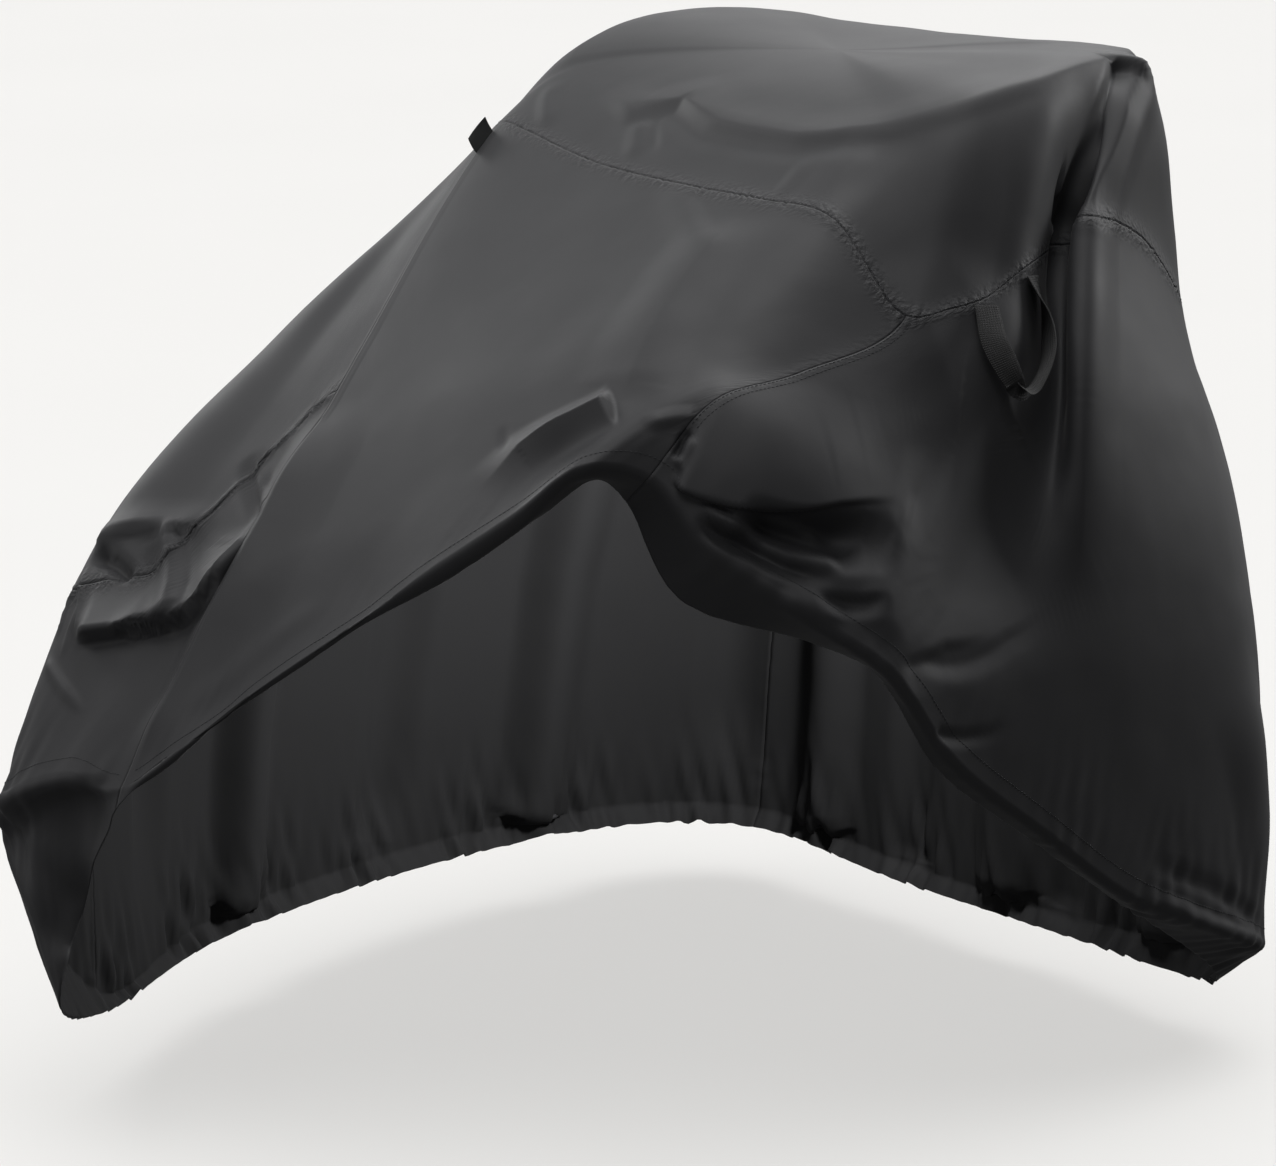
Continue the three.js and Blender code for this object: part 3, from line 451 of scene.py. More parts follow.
def fold_shift(points, out):
    """How far the folds move each point of the smooth cloth."""
    shift = np.zeros_like(points)
    for fold in FOLDS:
        line, line_out, share = fold_path(fold)
        reach = max(fold.left, fold.right)
        near = ((points > line.min(0) - reach) & (points < line.max(0) + reach)).all(-1)
        if not near.any():
            continue
        here = points[near]
        nearest = np.full(len(here), 1e9)
        side = np.zeros(len(here))
        along = np.zeros(len(here))
        left_way = np.zeros_like(here)
        for k in range(len(line) - 1):
            leg = line[k + 1] - line[k]
            w = np.clip(((here - line[k]) @ leg) / (leg @ leg), 0, 1)
            gap = here - (line[k] + w[:, None] * leg)
            distance = np.linalg.norm(gap, axis=1)
            closer = distance < nearest
            nearest[closer] = distance[closer]
            side[closer] = (np.cross(leg, gap) @ line_out[k])[closer]
            along[closer] = (share[k] + (share[k + 1] - share[k]) * w)[closer]
            left_way[closer] = unit(np.cross(line_out[k], leg))
        x = np.clip(nearest / np.where(side > 0, fold.left, fold.right), 0, 1)
        shape = (1 - fold.sharp) * (1 - x**2) ** 2 + fold.sharp * (1 - x) ** CRISP_POWER
        shape *= ease(along / fold.start) * ease((1 - along) / fold.end)
        shift[near] += out[near] * (fold.height * shape)[:, None]
        shift[near] += left_way * (fold.lean * shape)[:, None]
    return shift


def lumps(points, size, seed, cells=64):
    """Smooth uneven values between -1 and 1 over points in space, in lumps of about `size`."""
    lattice = np.random.default_rng(seed).uniform(-1, 1, (cells, cells, cells))
    place = points / size + cells / 2
    low = np.floor(place).astype(int)
    w = ease(place - low)
    total = np.zeros(points.shape[:-1])
    for corner in np.ndindex(2, 2, 2):
        step = np.array(corner)
        weight = np.where(step == 1, w, 1 - w).prod(-1)
        index = np.mod(low + step, cells)
        total += weight * lattice[index[..., 0], index[..., 1], index[..., 2]]
    return total


def waves(along, across, wave, seed, count=4):
    """Uneven waves along a line, a little slanted, between about -1 and 1."""
    draw = np.random.default_rng(seed)
    total = 0
    for _ in range(count):
        length = wave * draw.uniform(*WAVE_SHARES)
        slant = draw.uniform(-WAVE_SLANT, WAVE_SLANT)
        phase = draw.uniform(0, math.tau)
        total = total + np.sin(math.tau * (along + slant * across) / length + phase)
    patches = np.sin(along / (wave * PATCH_SHARE) + draw.uniform(0, math.tau))
    return total / math.sqrt(count) * (1 - PATCH_DEPTH + PATCH_DEPTH * patches)


Surface = namedtuple("Surface", "sections levels points outward round_length down_length crinkle")


def mesh_sections(scale):
    """Section numbers of the mesh columns, all round."""
    columns = []
    for i in range(COUNT):
        width = np.linalg.norm(CORNERS[(i + 1) % COUNT, SEAM:] - CORNERS[i, SEAM:], axis=-1).max()
        step = (PLAIN_WIDTH if i in PLAIN_SECTIONS else FINE_WIDTH) * scale
        cells = math.ceil(width / step)
        columns += [i + k / cells for k in range(cells)]
    return np.array(columns)


def mesh_levels(scale):
    """Level numbers of the mesh rows, closer together beside a seam or an edge."""
    rows = []
    for level, count in enumerate(ROWS[1:]):
        count = math.ceil(count / scale)
        w = np.arange(count) / count
        if level:
            w = w - ROW_GRADING * np.sin(math.tau * w) / math.tau
        rows += list(level + w)
    rows[0] = TOP_OPENING
    return np.array(rows + [EDGE])


def sewn_relief(surface, sewn, seed):
    """Groove, doubled edge and puckers of one sewn line in millimetres, and its crinkle."""
    span = sewn.end - sewn.start
    if sewn.kind == "round":
        row = index_of(surface.levels, sewn.at)
        across = surface.down_length - surface.down_length[:, row:row + 1]
        along = surface.round_length[:, row:row + 1]
        place = surface.sections[:, None] - sewn.start
    else:
        column = index_of(surface.sections, sewn.at)
        closing = np.linalg.norm(surface.points[0] - surface.points[-1], axis=-1)
        total = surface.round_length[-1] + closing
        across = surface.round_length - surface.round_length[column]
        across = np.mod(across + total / 2, total) - total / 2
        along = surface.down_length[column][None, :]
        place = surface.levels[None, :] - sewn.start
    if span == COUNT:
        inside = 1.0
        calm = ease(np.minimum(along, along[-1] - along) / SEAM_CALM)
    else:
        inside = ease(place / SEAM_START) * ease((span - place) / SEAM_STOP + 1)
        inside = inside * ((place >= 0) & (place <= span))
        calm = 1
    groove = -sewn.groove * np.exp(-(across / GROOVE_HALF) ** 2)
    doubled = LAP_SHARE * abs(sewn.groove) * ease((across + 1) / LAP_EDGE)
    doubled = doubled * ease((LAP + 1.5 - across) / LAP_EDGE)
    pucker = sewn.pucker * waves(along, across, sewn.wave, seed)
    pucker = pucker * np.exp(-(across / sewn.reach) ** 2)
    crinkle = inside * sewn.crinkle * np.exp(-(across / (sewn.reach + CRINKLE_MORE)) ** 2)
    return inside * (groove + doubled + pucker * calm), crinkle


def gather_relief(surface, seed):
    """Waves that the elastic draws up along the hem, in millimetres."""
    row = index_of(surface.levels, FOLD)
    above = surface.down_length[:, row:row + 1] - surface.down_length
    along = surface.round_length[:, row:row + 1]
    height = np.interp(surface.sections, range(COUNT + 1), GATHERS + GATHERS[:1])[:, None]
    ends = ease(np.minimum(along, along[-1] - along) / GATHER_CALM)
    fade = np.exp(-(above / np.where(above > 0, GATHER_REACH, GATHER_BELOW)) ** 2)
    return height * ends * fade * waves(along, above, GATHER_WAVE, seed)


@lru_cache(maxsize=1)
def cover_surface(scale):
    """The middle of the whole cover's cloth as a grid, in millimetres."""
    sections, levels = mesh_sections(scale), mesh_levels(scale)
    smooth = smooth_point(sections[:, None], row_level(sections[:, None], levels[None, :]))
    folded = smooth + fold_shift(smooth, grid_outward(smooth))
    out = grid_outward(folded)
    surface = Surface(sections, levels, folded, out, running_length(folded, 0),
                      running_length(folded, 1), None)
    relief = gather_relief(surface, GATHER_SEED)
    crinkle = np.zeros_like(relief)
    for k, sewn in enumerate(SEWN):
        seam, fine = sewn_relief(surface, sewn, SEAM_SEED + k)
        relief = relief + seam
        crinkle = np.maximum(crinkle, fine)
    calm = ease((levels - 0.3) / 0.5)[None, :]
    for k, (size, height) in enumerate(LUMPS):
        relief = relief + calm * height * lumps(folded, size, LUMP_SEED + k)
    points = folded + out * relief[..., None]
    return surface._replace(points=points, outward=grid_outward(points), crinkle=crinkle)


def linear(code):
    """Linear colour of an sRGB hex value."""
    parts = [int(code[k:k + 2], 16) / 255 for k in (0, 2, 4)]
    return tuple(c / 12.92 if c <= 0.04045 else ((c + 0.055) / 1.055) ** 2.4 for c in parts)


class CoverSizes(bpy.types.PropertyGroup):
    cloth: FloatProperty(
        name="Cloth thickness", description="Thickness of the coated cloth",
        default=0.0012, min=0.0005, max=0.003, unit="LENGTH")
    weave: FloatProperty(
        name="Weave pitch",
        description="Thread spacing, drawn coarser than the real 0.3 mm to show",
        default=0.0011, min=0.0003, max=0.004, unit="LENGTH")
    loop_width: FloatProperty(
        name="Loop width", description="Width of the pull loop's webbing",
        default=0.024, min=0.01, max=0.05, unit="LENGTH")
    floor_drop: FloatProperty(
        name="Floor drop", description="Height of the hanging point over the floor",
        default=0.905, min=0.5, max=2.0, unit="LENGTH")


class CoverColours(bpy.types.PropertyGroup):
    face: FloatVectorProperty(
        name="Coated face", description="Outside of the cloth", size=3, subtype="COLOR",
        default=linear("343436"), min=0, max=1)
    back: FloatVectorProperty(
        name="Inside", description="Uncoated inside of the cloth", size=3, subtype="COLOR",
        default=linear("2A2A2B"), min=0, max=1)
    webbing: FloatVectorProperty(
        name="Webbing", description="Pull loop", size=3, subtype="COLOR",
        default=linear("0C0C0D"), min=0, max=1)
    tag: FloatVectorProperty(
        name="Tag", description="Bare woven tag", size=3, subtype="COLOR",
        default=linear("0E0F10"), min=0, max=1)
    thread: FloatVectorProperty(
        name="Thread", description="Sewing thread", size=3, subtype="COLOR",
        default=linear("303134"), min=0, max=1)
    floor: FloatVectorProperty(
        name="Floor", description="Studio floor", size=3, subtype="COLOR",
        default=linear("E9E8E6"), min=0, max=1)


def node(tree, kind, settings=None, **links):
    """Adds a shader node, sets its properties and sockets, and links those given as outputs."""
    made = tree.nodes.new("ShaderNode" + kind)
    for name, value in (settings or {}).items():
        setattr(made, name, value)
    for name, value in links.items():
        socket = made.inputs[int(name[1:]) if name[1:].isdigit() else name.replace("_", " ")]
        if isinstance(value, bpy.types.NodeSocket):
            tree.links.new(value, socket)
        else:
            socket.default_value = value
    return made


def new_material(name):
    material = bpy.data.materials.new(name)
    material.use_nodes = True
    material.node_tree.nodes.clear()
    return material, material.node_tree


def finish_material(tree, shader):
    node(tree, "OutputMaterial", i0=shader.outputs[0])


# Band wave textures repeat every 2 pi / 20 at scale 1
WAVE_PERIOD = math.tau / 20

# Sizes of the patterns in metres: creases and shading of the cloth, crinkles beside a seam,
# mottling of the cloth's back, ribs and cords of the webbing, and ribs of the tag
CREASE_SIZE, SHADE_SIZE, CRINKLE_SIZE, MOTTLE_SIZE = 0.03, 0.12, 0.0055, 0.02
RIB_PITCH, CORD_PITCH, TAG_RIB_PITCH = 0.0018, 0.0024, 0.0009


def woven(tree, place, warp_pitch, weft_pitch):
    """Height of threads that cross, one set along each way of the flat cloth."""
    warp, weft = (
        node(tree, "TexWave", {"bands_direction": way}, Vector=place,
             Scale=WAVE_PERIOD / pitch, Distortion=0.0).outputs[0]
        for way, pitch in (("X", warp_pitch), ("Y", weft_pitch)))
    return node(tree, "Math", {"operation": "MULTIPLY"}, i0=warp, i1=weft).outputs[0]


def coated_cloth(colour, weave):
    """Polyester taffeta with a polyurethane coating: dark, with a soft satin sheen on its folds."""
    material, tree = new_material("coated_polyester")
    place = node(tree, "UVMap", {"uv_map": "cut"}).outputs[0]
    threads = woven(tree, place, weave, weave)
    creases = node(tree, "TexNoise", Vector=place, Scale=1 / CREASE_SIZE, Detail=3.0,
                   Roughness=0.5).outputs[0]
    ripples = node(tree, "TexNoise", Vector=place, Scale=1 / CRINKLE_SIZE, Detail=2.0,
                   Roughness=0.5).outputs[0]
    seam = node(tree, "Attribute", {"attribute_name": "crinkle"}).outputs["Fac"]
    puckers = node(tree, "Math", {"operation": "MULTIPLY"}, i0=ripples,
                   i1=seam).outputs[0]
    shade = node(tree, "TexNoise", Vector=place, Scale=1 / SHADE_SIZE,
                 Detail=3.0).outputs[0]
    light = tuple(min(c * 1.12, 1) for c in colour)
    dark = tuple(c * 0.9 for c in colour)
    tint = node(tree, "Mix", {"data_type": "RGBA"}, i0=shade, i6=(*dark, 1),
                i7=(*light, 1))
    rough = node(tree, "MapRange", i0=shade, i1=0.3, i2=0.7, i3=0.56,
                 i4=0.64).outputs[0]
    broad = node(tree, "Bump", i0=0.12, i1=0.0016, Height=creases).outputs[0]
    sewn = node(tree, "Bump", i0=0.9, i1=0.0022, Height=puckers, Normal=broad).outputs[0]
    fine = node(tree, "Bump", i0=0.12, i1=0.0002, Height=threads, Normal=sewn).outputs[0]
    shader = node(tree, "BsdfPrincipled", Base_Color=tint.outputs[2], Roughness=rough,
                  Normal=fine, Specular_IOR_Level=0.42, Sheen_Weight=0.06, Sheen_Roughness=0.4)
    finish_material(tree, shader)
    return material


def cloth_back(colour):
    """Uncoated side of the same cloth: matte and nearly black."""
    material, tree = new_material("uncoated_polyester")
    place = node(tree, "UVMap", {"uv_map": "cut"}).outputs[0]
    mottle = node(tree, "TexNoise", Vector=place, Scale=1 / MOTTLE_SIZE,
                  Detail=3.0).outputs[0]
    bump = node(tree, "Bump", i0=0.2, i1=0.001, Height=mottle).outputs[0]
    shader = node(tree, "BsdfPrincipled", Base_Color=(*colour, 1), Roughness=0.85,
                  Normal=bump, Specular_IOR_Level=0.3)
    finish_material(tree, shader)
    return material


def thread_material(colour):
    """Spun polyester sewing thread: a little paler than the cloth, with a low gloss."""
    material, tree = new_material("polyester_thread")
    shader = node(tree, "BsdfPrincipled", Base_Color=(*colour, 1), Roughness=0.55)
    finish_material(tree, shader)
    return material


def webbing_material(colour):
    """Flat woven polypropylene webbing: ribs across its width, low gloss."""
    material, tree = new_material("woven_webbing")
    place = node(tree, "UVMap", {"uv_map": "cut"}).outputs[0]
    threads = woven(tree, place, CORD_PITCH, RIB_PITCH)
    bump = node(tree, "Bump", i0=0.7, i1=0.0005, Height=threads).outputs[0]
    shader = node(tree, "BsdfPrincipled", Base_Color=(*colour, 1), Roughness=0.72,
                  Normal=bump)
    finish_material(tree, shader)
    return material


def tag_material(colour):
    """Damask woven label cloth: dense, flat and matte, with a fine rib."""
    material, tree = new_material("woven_label")
    place = node(tree, "TexCoord").outputs["Object"]
    ribs = node(tree, "TexWave", {"bands_direction": "Z"}, Vector=place,
                Scale=WAVE_PERIOD / TAG_RIB_PITCH, Distortion=0.0).outputs[0]
    bump = node(tree, "Bump", i0=0.5, i1=0.0003, Height=ribs).outputs[0]
    shader = node(tree, "BsdfPrincipled", Base_Color=(*colour, 1), Roughness=0.78,
                  Normal=bump)
    finish_material(tree, shader)
    return material


def floor_material(colour):
    """Matte painted studio floor."""
    material, tree = new_material("painted_floor")
    place = node(tree, "TexCoord").outputs["Object"]
    mottle = node(tree, "TexNoise", Vector=place, Scale=1.5, Detail=2.0).outputs[0]
    rough = node(tree, "MapRange", i0=mottle, i1=0.0, i2=1.0, i3=0.7, i4=0.85).outputs[0]
    shader = node(tree, "BsdfPrincipled", Base_Color=(*colour, 1), Roughness=rough)
    finish_material(tree, shader)
    return material


def mesh_object(name, points, faces, uvs, materials, crinkle=None):
    """A smooth piece from points in metres and faces, with a flat place and a crinkle a point."""
    mesh = bpy.data.meshes.new(name)
    mesh.from_pydata(points.tolist(), [], faces)
    mesh.shade_smooth()
    layer = mesh.uv_layers.new(name="cut")
    corners = np.zeros(len(mesh.loops), np.int32)
    mesh.loops.foreach_get("vertex_index", corners)
    layer.data.foreach_set("uv", uvs[corners].astype(np.float32).ravel())
    if crinkle is not None:
        mesh.attributes.new("crinkle", "FLOAT", "POINT").data.foreach_set(
            "value", crinkle.astype(np.float32))
    for material in materials:
        mesh.materials.append(material)
    piece = bpy.data.objects.new(name, mesh)
    bpy.context.scene.collection.objects.link(piece)
    return piece


def thicken(piece, thickness):
    """Gives a sheet its two faces, the inner one in its second material."""
    solidify = piece.modifiers.new("cloth", "SOLIDIFY")
    solidify.thickness = thickness
    solidify.offset = 0
    solidify.material_offset = 1
    solidify.material_offset_rim = 0


def grid_faces(columns, rows, closed=False):
    """Faces over a grid of points, facing out."""
    across = np.arange(columns if closed else columns - 1)
    i, j = np.meshgrid(across, np.arange(rows - 1), indexing="ij")
    n = (i + 1) % columns
    faces = np.stack([i * rows + j, i * rows + j + 1, n * rows + j + 1, n * rows + j], -1)
    return faces.reshape(-1, 4).tolist()


def as_part(points):
    """From the cloth's lengths in millimetres to the part's frame in metres."""
    return (points - HANG) * MM


def declare(piece, slot, *nodes):
    """Ties a piece to the root body and hides the solids it stands for; slot is not used."""
    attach(piece, "root")
    if nodes:
        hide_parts(*nodes)


def cloth_materials(context):
    """The outside and the inside of the cloth, made once."""
    sizes, colours = context.scene.cover_sizes, context.scene.cover_colours
    made = bpy.data.materials
    face = made.get("coated_polyester") or coated_cloth(tuple(colours.face), sizes.weave)
    back = made.get("uncoated_polyester") or cloth_back(tuple(colours.back))
    return face, back


def detail():
    return 1.0


def row_along(surface, seam, offset, start, end):
    """Points and outward directions of a row of sewing beside a seam or over the hem's fold."""
    sewn = next((k for k in SEWN if k.name == seam), None)
    if sewn and sewn.kind == "down":
        middle = index_of(surface.sections, sewn.at)
        near = middle + np.arange(-SEAM_COLUMNS, SEAM_COLUMNS + 1)
        near = near % len(surface.sections)
        points, wide = surface.points[near], running_length(surface.points[near])
        rows = np.flatnonzero((surface.levels >= start) & (surface.levels <= end))
        lines = [(wide[:, j] - wide[SEAM_COLUMNS, j], points[:, j], surface.outward[near, j])
                 for j in rows]
    else:
        level = sewn.at if sewn else FOLD
        row = index_of(surface.levels, level)
        inside = np.flatnonzero((surface.sections >= start) & (surface.sections <= end))
        lines = [(surface.down_length[i] - surface.down_length[i, row], surface.points[i],
                  surface.outward[i]) for i in inside]
    place = [[np.interp(offset, across, values[:, k]) for k in range(3)]
             for across, *both in lines for values in both]
    place = np.array(place).reshape(-1, 2, 3)
    return place[:, 0], unit(place[:, 1])


class COVER_OT_stitches(bpy.types.Operator):
    """Make the rows of stitches along the seams and the hem, from one stitch"""
    bl_idname = "cover.stitches"
    bl_label = "Stitches"

    def execute(self, context):
        surface = cover_surface(detail())
        bpy.ops.object.select_all(action="DESELECT")
        bpy.ops.mesh.primitive_uv_sphere_add(segments=6, ring_count=4, radius=0.5)
        bpy.ops.object.mode_set(mode="EDIT")
        bpy.ops.mesh.select_all(action="SELECT")
        bpy.ops.transform.rotate(value=math.pi / 2, orient_axis="Y", center_override=(0, 0, 0))
        bpy.ops.transform.resize(value=(STITCH_LENGTH, STITCH_WIDTH, STITCH_WIDTH),
                                 center_override=(0, 0, 0))
        bpy.ops.object.mode_set(mode="OBJECT")
        pattern = context.object
        shape = np.array([v.co[:] for v in pattern.data.vertices])
        faces = [list(face.vertices) for face in pattern.data.polygons]
        bpy.data.objects.remove(pattern)
        lift = context.scene.cover_sizes.cloth / MM / 2 + STITCH_LIFT
        points, all_faces = [], []
        for row in STITCH_ROWS:
            line, out = row_along(surface, *row)
            lengths = running_length(line)
            stops = np.arange(STITCH_PITCH, lengths[-1] - STITCH_PITCH, STITCH_PITCH * detail())
            for stop in stops:
                here, ahead, before, up = (
                    np.array([np.interp(stop + step, lengths, values[:, k]) for k in range(3)])
                    for step, values in ((0, line), (STITCH_HALF, line), (-STITCH_HALF, line),
                                         (0, out)))
                forward = unit(ahead - before)
                up = unit(up - forward * (up @ forward))
                turn = np.stack([forward, np.cross(up, forward), up])
                all_faces += [[k + len(points) * len(shape) for k in face] for face in faces]
                points.append(shape @ turn + here + up * lift)
        points = as_part(np.vstack(points))
        piece = mesh_object("stitches", points, all_faces, points[:, :2],
                            [thread_material(tuple(context.scene.cover_colours.thread))])
        declare(piece, "coated_cloth")
        return {"FINISHED"}


def folded_point(s, t):
    """Points of the folded cloth and the outward directions of the smooth cloth there."""
    s, t = np.asarray(s, float), np.asarray(t, float)
    smooth, out = smooth_point(s, t), smooth_outward(s, t)
    return smooth + fold_shift(smooth, out), out


class COVER_OT_pull_loop(bpy.types.Operator):
    """Make the pull loop, a flat band of webbing with both ends in the side seam"""
    bl_idname = "cover.pull_loop"
    bl_label = "Pull Loop"

    def execute(self, context):
        width = context.scene.cover_sizes.loop_width / MM
        knots = np.array(LOOP, float)
        padded = np.vstack([knots[:1], knots, knots[-1:]])
        places = np.linspace(0, len(knots) - 1, (len(knots) - 1) * LOOP_CELLS + 1)
        k = np.minimum(places.astype(int), len(knots) - 2)
        w = (places - k)[:, None]
        p0, p1, p2, p3 = (padded[k + step] for step in range(4))
        values = 0.5 * (2 * p1 + (p2 - p0) * w + (2 * p0 - 5 * p1 + 4 * p2 - p3) * w**2
                        + (3 * p1 - p0 - 3 * p2 + p3) * w**3)
        section, level, off, twist, wide = values.T
        cloth, out = folded_point(section, level)
        middles = cloth + out * off[:, None]
        along = unit(np.gradient(middles, axis=0))
        flat = unit(np.cross(out, along))
        lifted = unit(np.cross(along, flat))
        angle = np.radians(twist)[:, None]
        across = flat * np.cos(angle) + lifted * np.sin(angle)
        thick = np.cross(along, across)
        turn = np.linspace(-math.pi / 2, math.pi / 2, LOOP_EDGE_CELLS + 1)
        edge = np.stack([np.cos(turn), np.sin(turn)], -1) * LOOP_THICKNESS / 2
        flats = np.linspace(-1, 1, LOOP_FLAT_CELLS + 1)[1:-1] * (width - LOOP_THICKNESS) / 2
        half = (width - LOOP_THICKNESS) / 2
        under = np.stack([flats, np.full(len(flats), -LOOP_THICKNESS / 2)], -1)
        profile = np.vstack([edge + (half, 0), -under, -edge - (half, 0), under])
        cup = (1 - wide)[:, None] * (profile[:, 0] / half) ** 2 * width * LOOP_CUP
        points = (middles[:, None] + across[:, None] * (profile[:, 0] * wide[:, None])[..., None]
                  + thick[:, None] * (profile[:, 1] + cup)[..., None])
        count, sides = points.shape[:2]
        spread = np.broadcast_arrays(profile[None, :, 0], running_length(middles)[:, None])
        flat_place = np.stack(spread, -1) * MM
        faces = grid_faces(sides, count, closed=True)
        index = np.arange(count * sides).reshape(count, sides).T.ravel()
        faces = [[int(index[k]) for k in face] for face in faces]
        faces += [list(range(sides)), list(range(count * sides))[:-sides - 1:-1]]
        piece = mesh_object("pull_loop_webbing", as_part(points.reshape(-1, 3)), faces,
                            flat_place.reshape(-1, 2),
                            [webbing_material(tuple(context.scene.cover_colours.webbing))])
        declare(piece, "webbing", "pull_loop")
        return {"FINISHED"}


class COVER_OT_tag(bpy.types.Operator):
    """Make the bare tag, a folded piece of label cloth sewn in beside the front seam"""
    bl_idname = "cover.tag"
    bl_label = "Tag"

    def execute(self, context):
        (top, below), (_, out) = folded_point(
            [0, 0], [TAG_TOP_LEVEL, TAG_TOP_LEVEL + TAG_NEXT_LEVEL])
        down = unit(below - top)
        upright = unit(out - down * (out @ down))
        across = np.cross(down, upright)
        u, v = np.meshgrid(np.linspace(0, 1, TAG_COLUMNS), np.linspace(0, 1, TAG_ROWS),
                           indexing="ij")
        curl = TAG_CURL * v**2 * (0.6 + 0.8 * (u - 0.5) ** 2 * 4)
        middle = (top + down * (u * TAG_LENGTH)[..., None]
                  + upright * (TAG_CLEAR + v * TAG_REACH * 0.97)[..., None]
                  - across * curl[..., None])
        half = TAG_THICKNESS / 2 * (1 - 0.55 * (v == 0) - 0.25 * (v == 1))
        front = middle + across * half[..., None]
        back = middle - across * half[..., None]
        ring = np.concatenate([front, back[:, ::-1]], axis=1)
        rows = ring.shape[1]
        faces = grid_faces(TAG_COLUMNS, rows)
        faces += [[first, first + rows, first + 2 * rows - 1, first + rows - 1]
                  for first in range(0, (TAG_COLUMNS - 1) * rows, rows)]
        for first, way in ((0, 1), ((TAG_COLUMNS - 1) * rows, -1)):
            for j in range(TAG_ROWS - 1):
                side = [first + j, first + j + 1, first + rows - 2 - j, first + rows - 1 - j]
                faces.append(side[::way])
        flat = np.stack([u, v], -1) * (TAG_LENGTH * MM, TAG_REACH * MM)
        flat = np.concatenate([flat, flat[:, ::-1]], axis=1)
        piece = mesh_object("blank_tag_cloth", as_part(ring.reshape(-1, 3)), faces,
                            flat.reshape(-1, 2),
                            [tag_material(tuple(context.scene.cover_colours.tag))])
        piece.data.shade_flat()
        declare(piece, "woven_tag", "blank_tag")
        return {"FINISHED"}


class COVER_OT_top_panel(bpy.types.Operator):
    """Make the top panel, closed over the middle of the top"""
    bl_idname = "cover.top_panel"
    bl_label = "Top Panel"

    def execute(self, context):
        surface = cover_surface(detail())
        last = index_of(surface.levels, SEAM) + 1
        grid = surface.points[:, :last]
        columns = len(grid)
        middle = np.array(TOP_MIDDLE, float)
        points = as_part(np.vstack([grid.reshape(-1, 3), middle[None]]))
        faces = grid_faces(columns, last, closed=True)
        faces += [(columns * last, i * last, (i + 1) % columns * last) for i in range(columns)]
        bearing = np.arctan2(*(grid - middle)[..., (1, 0)].transpose(2, 0, 1))
        radius = surface.down_length[:, :last] * MM
        flat = np.stack([radius * np.cos(bearing), radius * np.sin(bearing)], -1).reshape(-1, 2)
        piece = mesh_object("top_panel_cloth", points, faces, np.vstack([flat, [[0, 0]]]),
                            cloth_materials(context), np.append(surface.crinkle[:, :last], 0))
        thicken(piece, context.scene.cover_sizes.cloth)
        declare(piece, "coated_cloth", "top_panel")
        return {"FINISHED"}


class COVER_OT_skirt_panels(bpy.types.Operator):
    """Make the front, nose, side and back panels that fall from the top"""
    bl_idname = "cover.skirt_panels"
    bl_label = "Skirt Panels"

    def execute(self, context):
        surface = cover_surface(detail())
        for panel in PANELS:
            total = len(surface.sections)
            first = index_of(surface.sections, panel.start)
            stop = index_of(surface.sections, panel.end) if panel.end < COUNT else total
            columns = np.arange(first, stop + 1) % total
            top, bottom = (index_of(surface.levels, t) for t in (panel.top, panel.bottom))
            rows = np.arange(top, bottom + 1)
            part = np.ix_(columns, rows)
            grid = surface.points[part]
            wide = running_length(grid)
            flat = np.stack([wide - wide[-1:] / 2, surface.down_length[part]], -1) * MM
            piece = mesh_object(panel.name + "_cloth", as_part(grid.reshape(-1, 3)),
                                grid_faces(len(columns), len(rows)), flat.reshape(-1, 2),
                                cloth_materials(context), surface.crinkle[part].ravel())
            thicken(piece, context.scene.cover_sizes.cloth)
            declare(piece, "coated_cloth", panel.name)
        return {"FINISHED"}


# Camera: its place in metres, the way it looks, and its lens
CAMERA_PLACE = (3.2203, -3.1109, 0.5653)
CAMERA_AZIMUTH = 49.652
CAMERA_ELEVATION = 13.696
CAMERA_LENS, CAMERA_FILM = 135.42, 36

# Lights: place and aim in metres, size of the softbox, and power in watts
Softbox = namedtuple("Softbox", "name place size power aim", defaults=((0, -0.25, -0.2),))
SOFTBOXES = (
    Softbox("overhead", (0, 0, 2.6), 1.6, 40),
    Softbox("over_rear", (-0.9, 1.5, 2.0), 1.4, 38),
    Softbox("behind", (-2.3, 1.94, 1.0), 1.6, 7),
    Softbox("high_left", (-1.7, -2.1, 2.2), 1.4, 25),
    Softbox("far_left", (-3.0, -0.3, 0.8), 1.4, 24),
    Softbox("low_left", (-1.9, -2.4, -0.3), 1.0, 5),
    Softbox("high_front", (2.0, -1.9, 2.6), 1.4, 16),
    Softbox("rear_right", (0.9, 2.7, 1.0), 1.2, 42),
    Softbox("nose", (0.6, -3.2, 0.6), 1.2, 4),
    Softbox("inside", (0.08, -0.07, -0.22), 0.12, 6, (-0.4, -0.4, -0.6)),
)
# The floor has lights of its own, one with a soft shadow and one with none: strength and spread
FLOOR_SUNS = ((1.0, 70, True), (2.4, 10, False))
FLOOR_RADIUS, FLOOR_SIDES = 14, 96
# The pale world around: how much it lights, and how bright the camera sees it
WORLD_STRENGTH, WORLD_SEEN = 0.085, 1.0


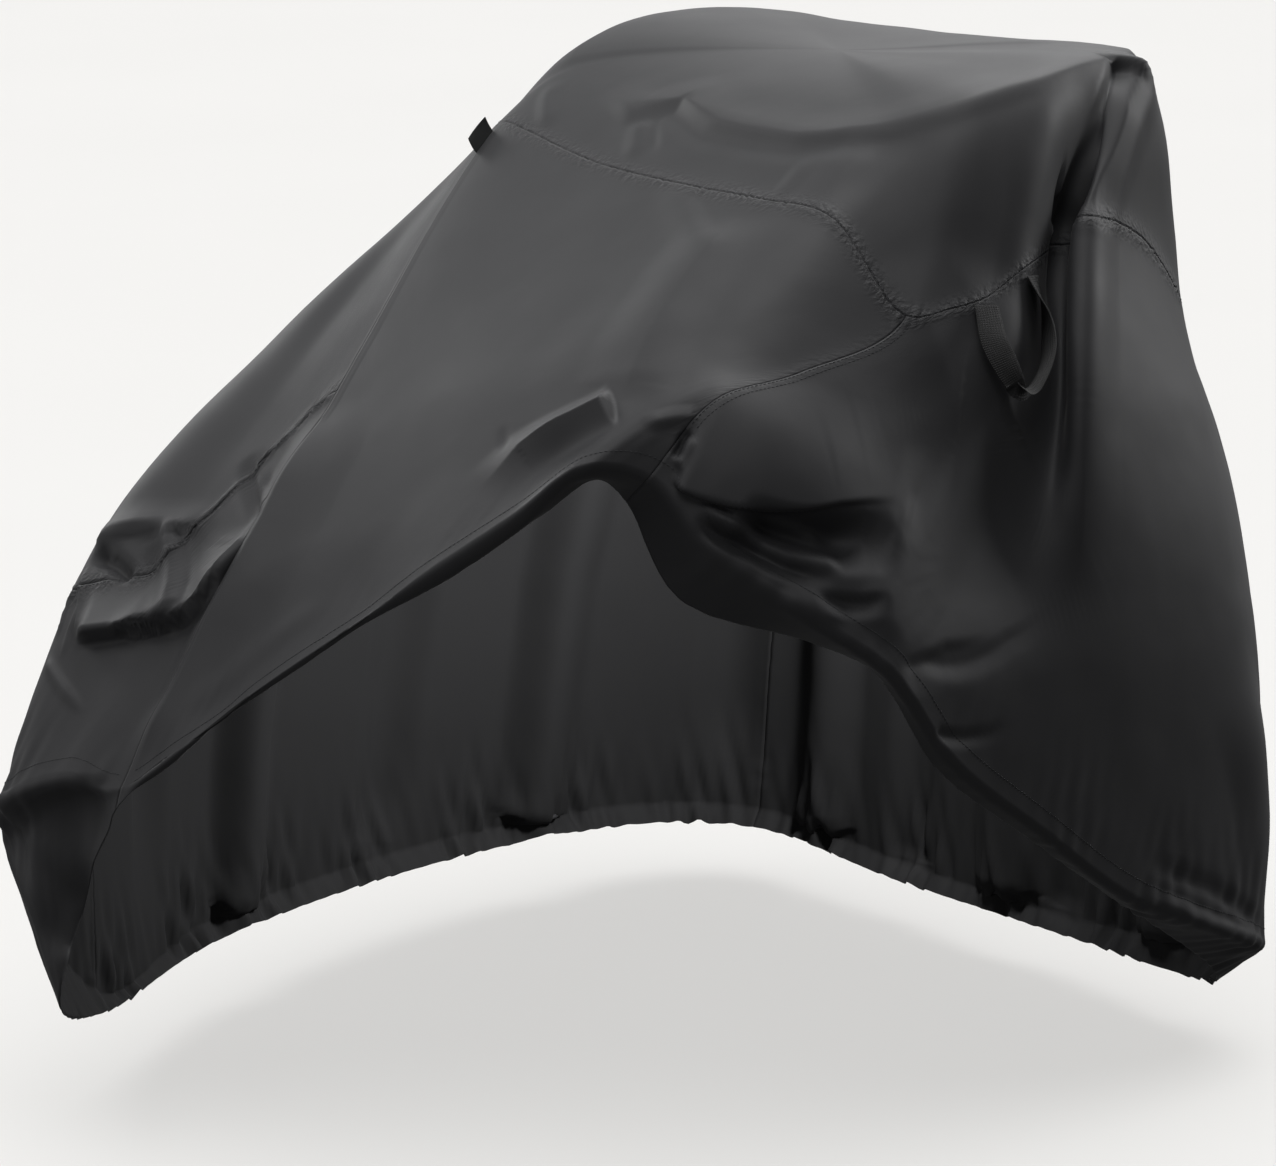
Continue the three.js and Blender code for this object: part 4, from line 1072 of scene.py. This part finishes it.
class COVER_OT_stage(bpy.types.Operator):
    """Make the floor, the soft lights and the camera"""
    bl_idname = "cover.stage"
    bl_label = "Stage"

    def execute(self, context):
        scene = context.scene
        bpy.ops.object.select_all(action="DESELECT")
        bpy.ops.mesh.primitive_circle_add(
            vertices=FLOOR_SIDES, radius=FLOOR_RADIUS, fill_type="NGON",
            location=(0, 0, -scene.cover_sizes.floor_drop))
        floor = context.object
        floor.name = "studio_floor"
        floor.data.materials.append(floor_material(tuple(scene.cover_colours.floor)))
        floor.visible_diffuse = floor.visible_glossy = floor.visible_shadow = False
        cloth_only = bpy.data.collections.new("cloth_light")
        for piece in scene.collection.objects:
            if piece.type == "MESH" and piece != floor:
                cloth_only.objects.link(piece)
        floor_only = bpy.data.collections.new("floor_light")
        floor_only.objects.link(floor)
        for box in SOFTBOXES:
            lamp = bpy.data.lights.new(box.name, "AREA")
            lamp.shape, lamp.size, lamp.energy = "SQUARE", box.size, box.power
            holder = bpy.data.objects.new(box.name, lamp)
            holder.visible_camera = False
            holder.location = box.place
            aim = Vector(box.aim) - Vector(box.place)
            holder.rotation_euler = aim.to_track_quat("-Z", "Y").to_euler()
            scene.collection.objects.link(holder)
            holder.light_linking.receiver_collection = cloth_only
        for strength, spread, shadow in FLOOR_SUNS:
            sun = bpy.data.lights.new("floor_sun", "SUN")
            sun.energy, sun.angle, sun.use_shadow = strength, math.radians(spread), shadow
            holder = bpy.data.objects.new("floor_sun", sun)
            scene.collection.objects.link(holder)
            holder.light_linking.receiver_collection = floor_only
        world = bpy.data.worlds.new("pale_studio")
        world.use_nodes = True
        tree = world.node_tree
        background = tree.nodes["Background"]
        background.inputs[0].default_value = (1, 1, 1, 1)
        seen = node(tree, "LightPath").outputs["Is Camera Ray"]
        strength = node(tree, "MapRange", i0=seen, i3=WORLD_STRENGTH,
                        i4=WORLD_SEEN).outputs[0]
        tree.links.new(strength, background.inputs[1])
        scene.world = world
        scene.view_settings.view_transform = "Standard"
        azimuth, elevation = math.radians(CAMERA_AZIMUTH), math.radians(CAMERA_ELEVATION)
        right = Vector((math.cos(azimuth), math.sin(azimuth), 0))
        back = Vector((math.sin(azimuth) * math.cos(elevation),
                       -math.cos(azimuth) * math.cos(elevation), math.sin(elevation)))
        turn = Matrix((right, back.cross(right), back)).transposed().to_4x4()
        lens = bpy.data.cameras.new("photo_camera")
        lens.lens, lens.sensor_width, lens.sensor_fit = CAMERA_LENS, CAMERA_FILM, "HORIZONTAL"
        camera = bpy.data.objects.new("photo_camera", lens)
        camera.matrix_world = Matrix.Translation(CAMERA_PLACE) @ turn
        scene.collection.objects.link(camera)
        scene.camera = camera
        return {"FINISHED"}


class COVER_PT_panel(bpy.types.Panel):
    """Sizes, colours and pieces of the cover"""
    bl_idname = "COVER_PT_panel"
    bl_label = "Weather Cover"
    bl_space_type = "VIEW_3D"
    bl_region_type = "UI"
    bl_category = "Cover"

    def draw(self, context):
        for group in (context.scene.cover_sizes, context.scene.cover_colours):
            for name in group.__annotations__:
                self.layout.prop(group, name)
        for operator in OPERATORS:
            self.layout.operator(operator.bl_idname)


OPERATORS = (COVER_OT_stitches, COVER_OT_pull_loop, COVER_OT_tag, COVER_OT_top_panel,
             COVER_OT_skirt_panels, COVER_OT_stage)
CLASSES = (CoverSizes, CoverColours, *OPERATORS, COVER_PT_panel)


def register():
    for cls in CLASSES:
        bpy.utils.register_class(cls)
    bpy.types.Scene.cover_sizes = PointerProperty(type=CoverSizes)
    bpy.types.Scene.cover_colours = PointerProperty(type=CoverColours)


def unregister():
    del bpy.types.Scene.cover_colours
    del bpy.types.Scene.cover_sizes
    for cls in reversed(CLASSES):
        bpy.utils.unregister_class(cls)


def main():
    register()
    bpy.ops.cover.stitches()
    bpy.ops.cover.pull_loop()
    bpy.ops.cover.tag()
    bpy.ops.cover.top_panel()
    bpy.ops.cover.skirt_panels()
    bpy.ops.cover.stage()


if __name__ == "__main__":
    main()
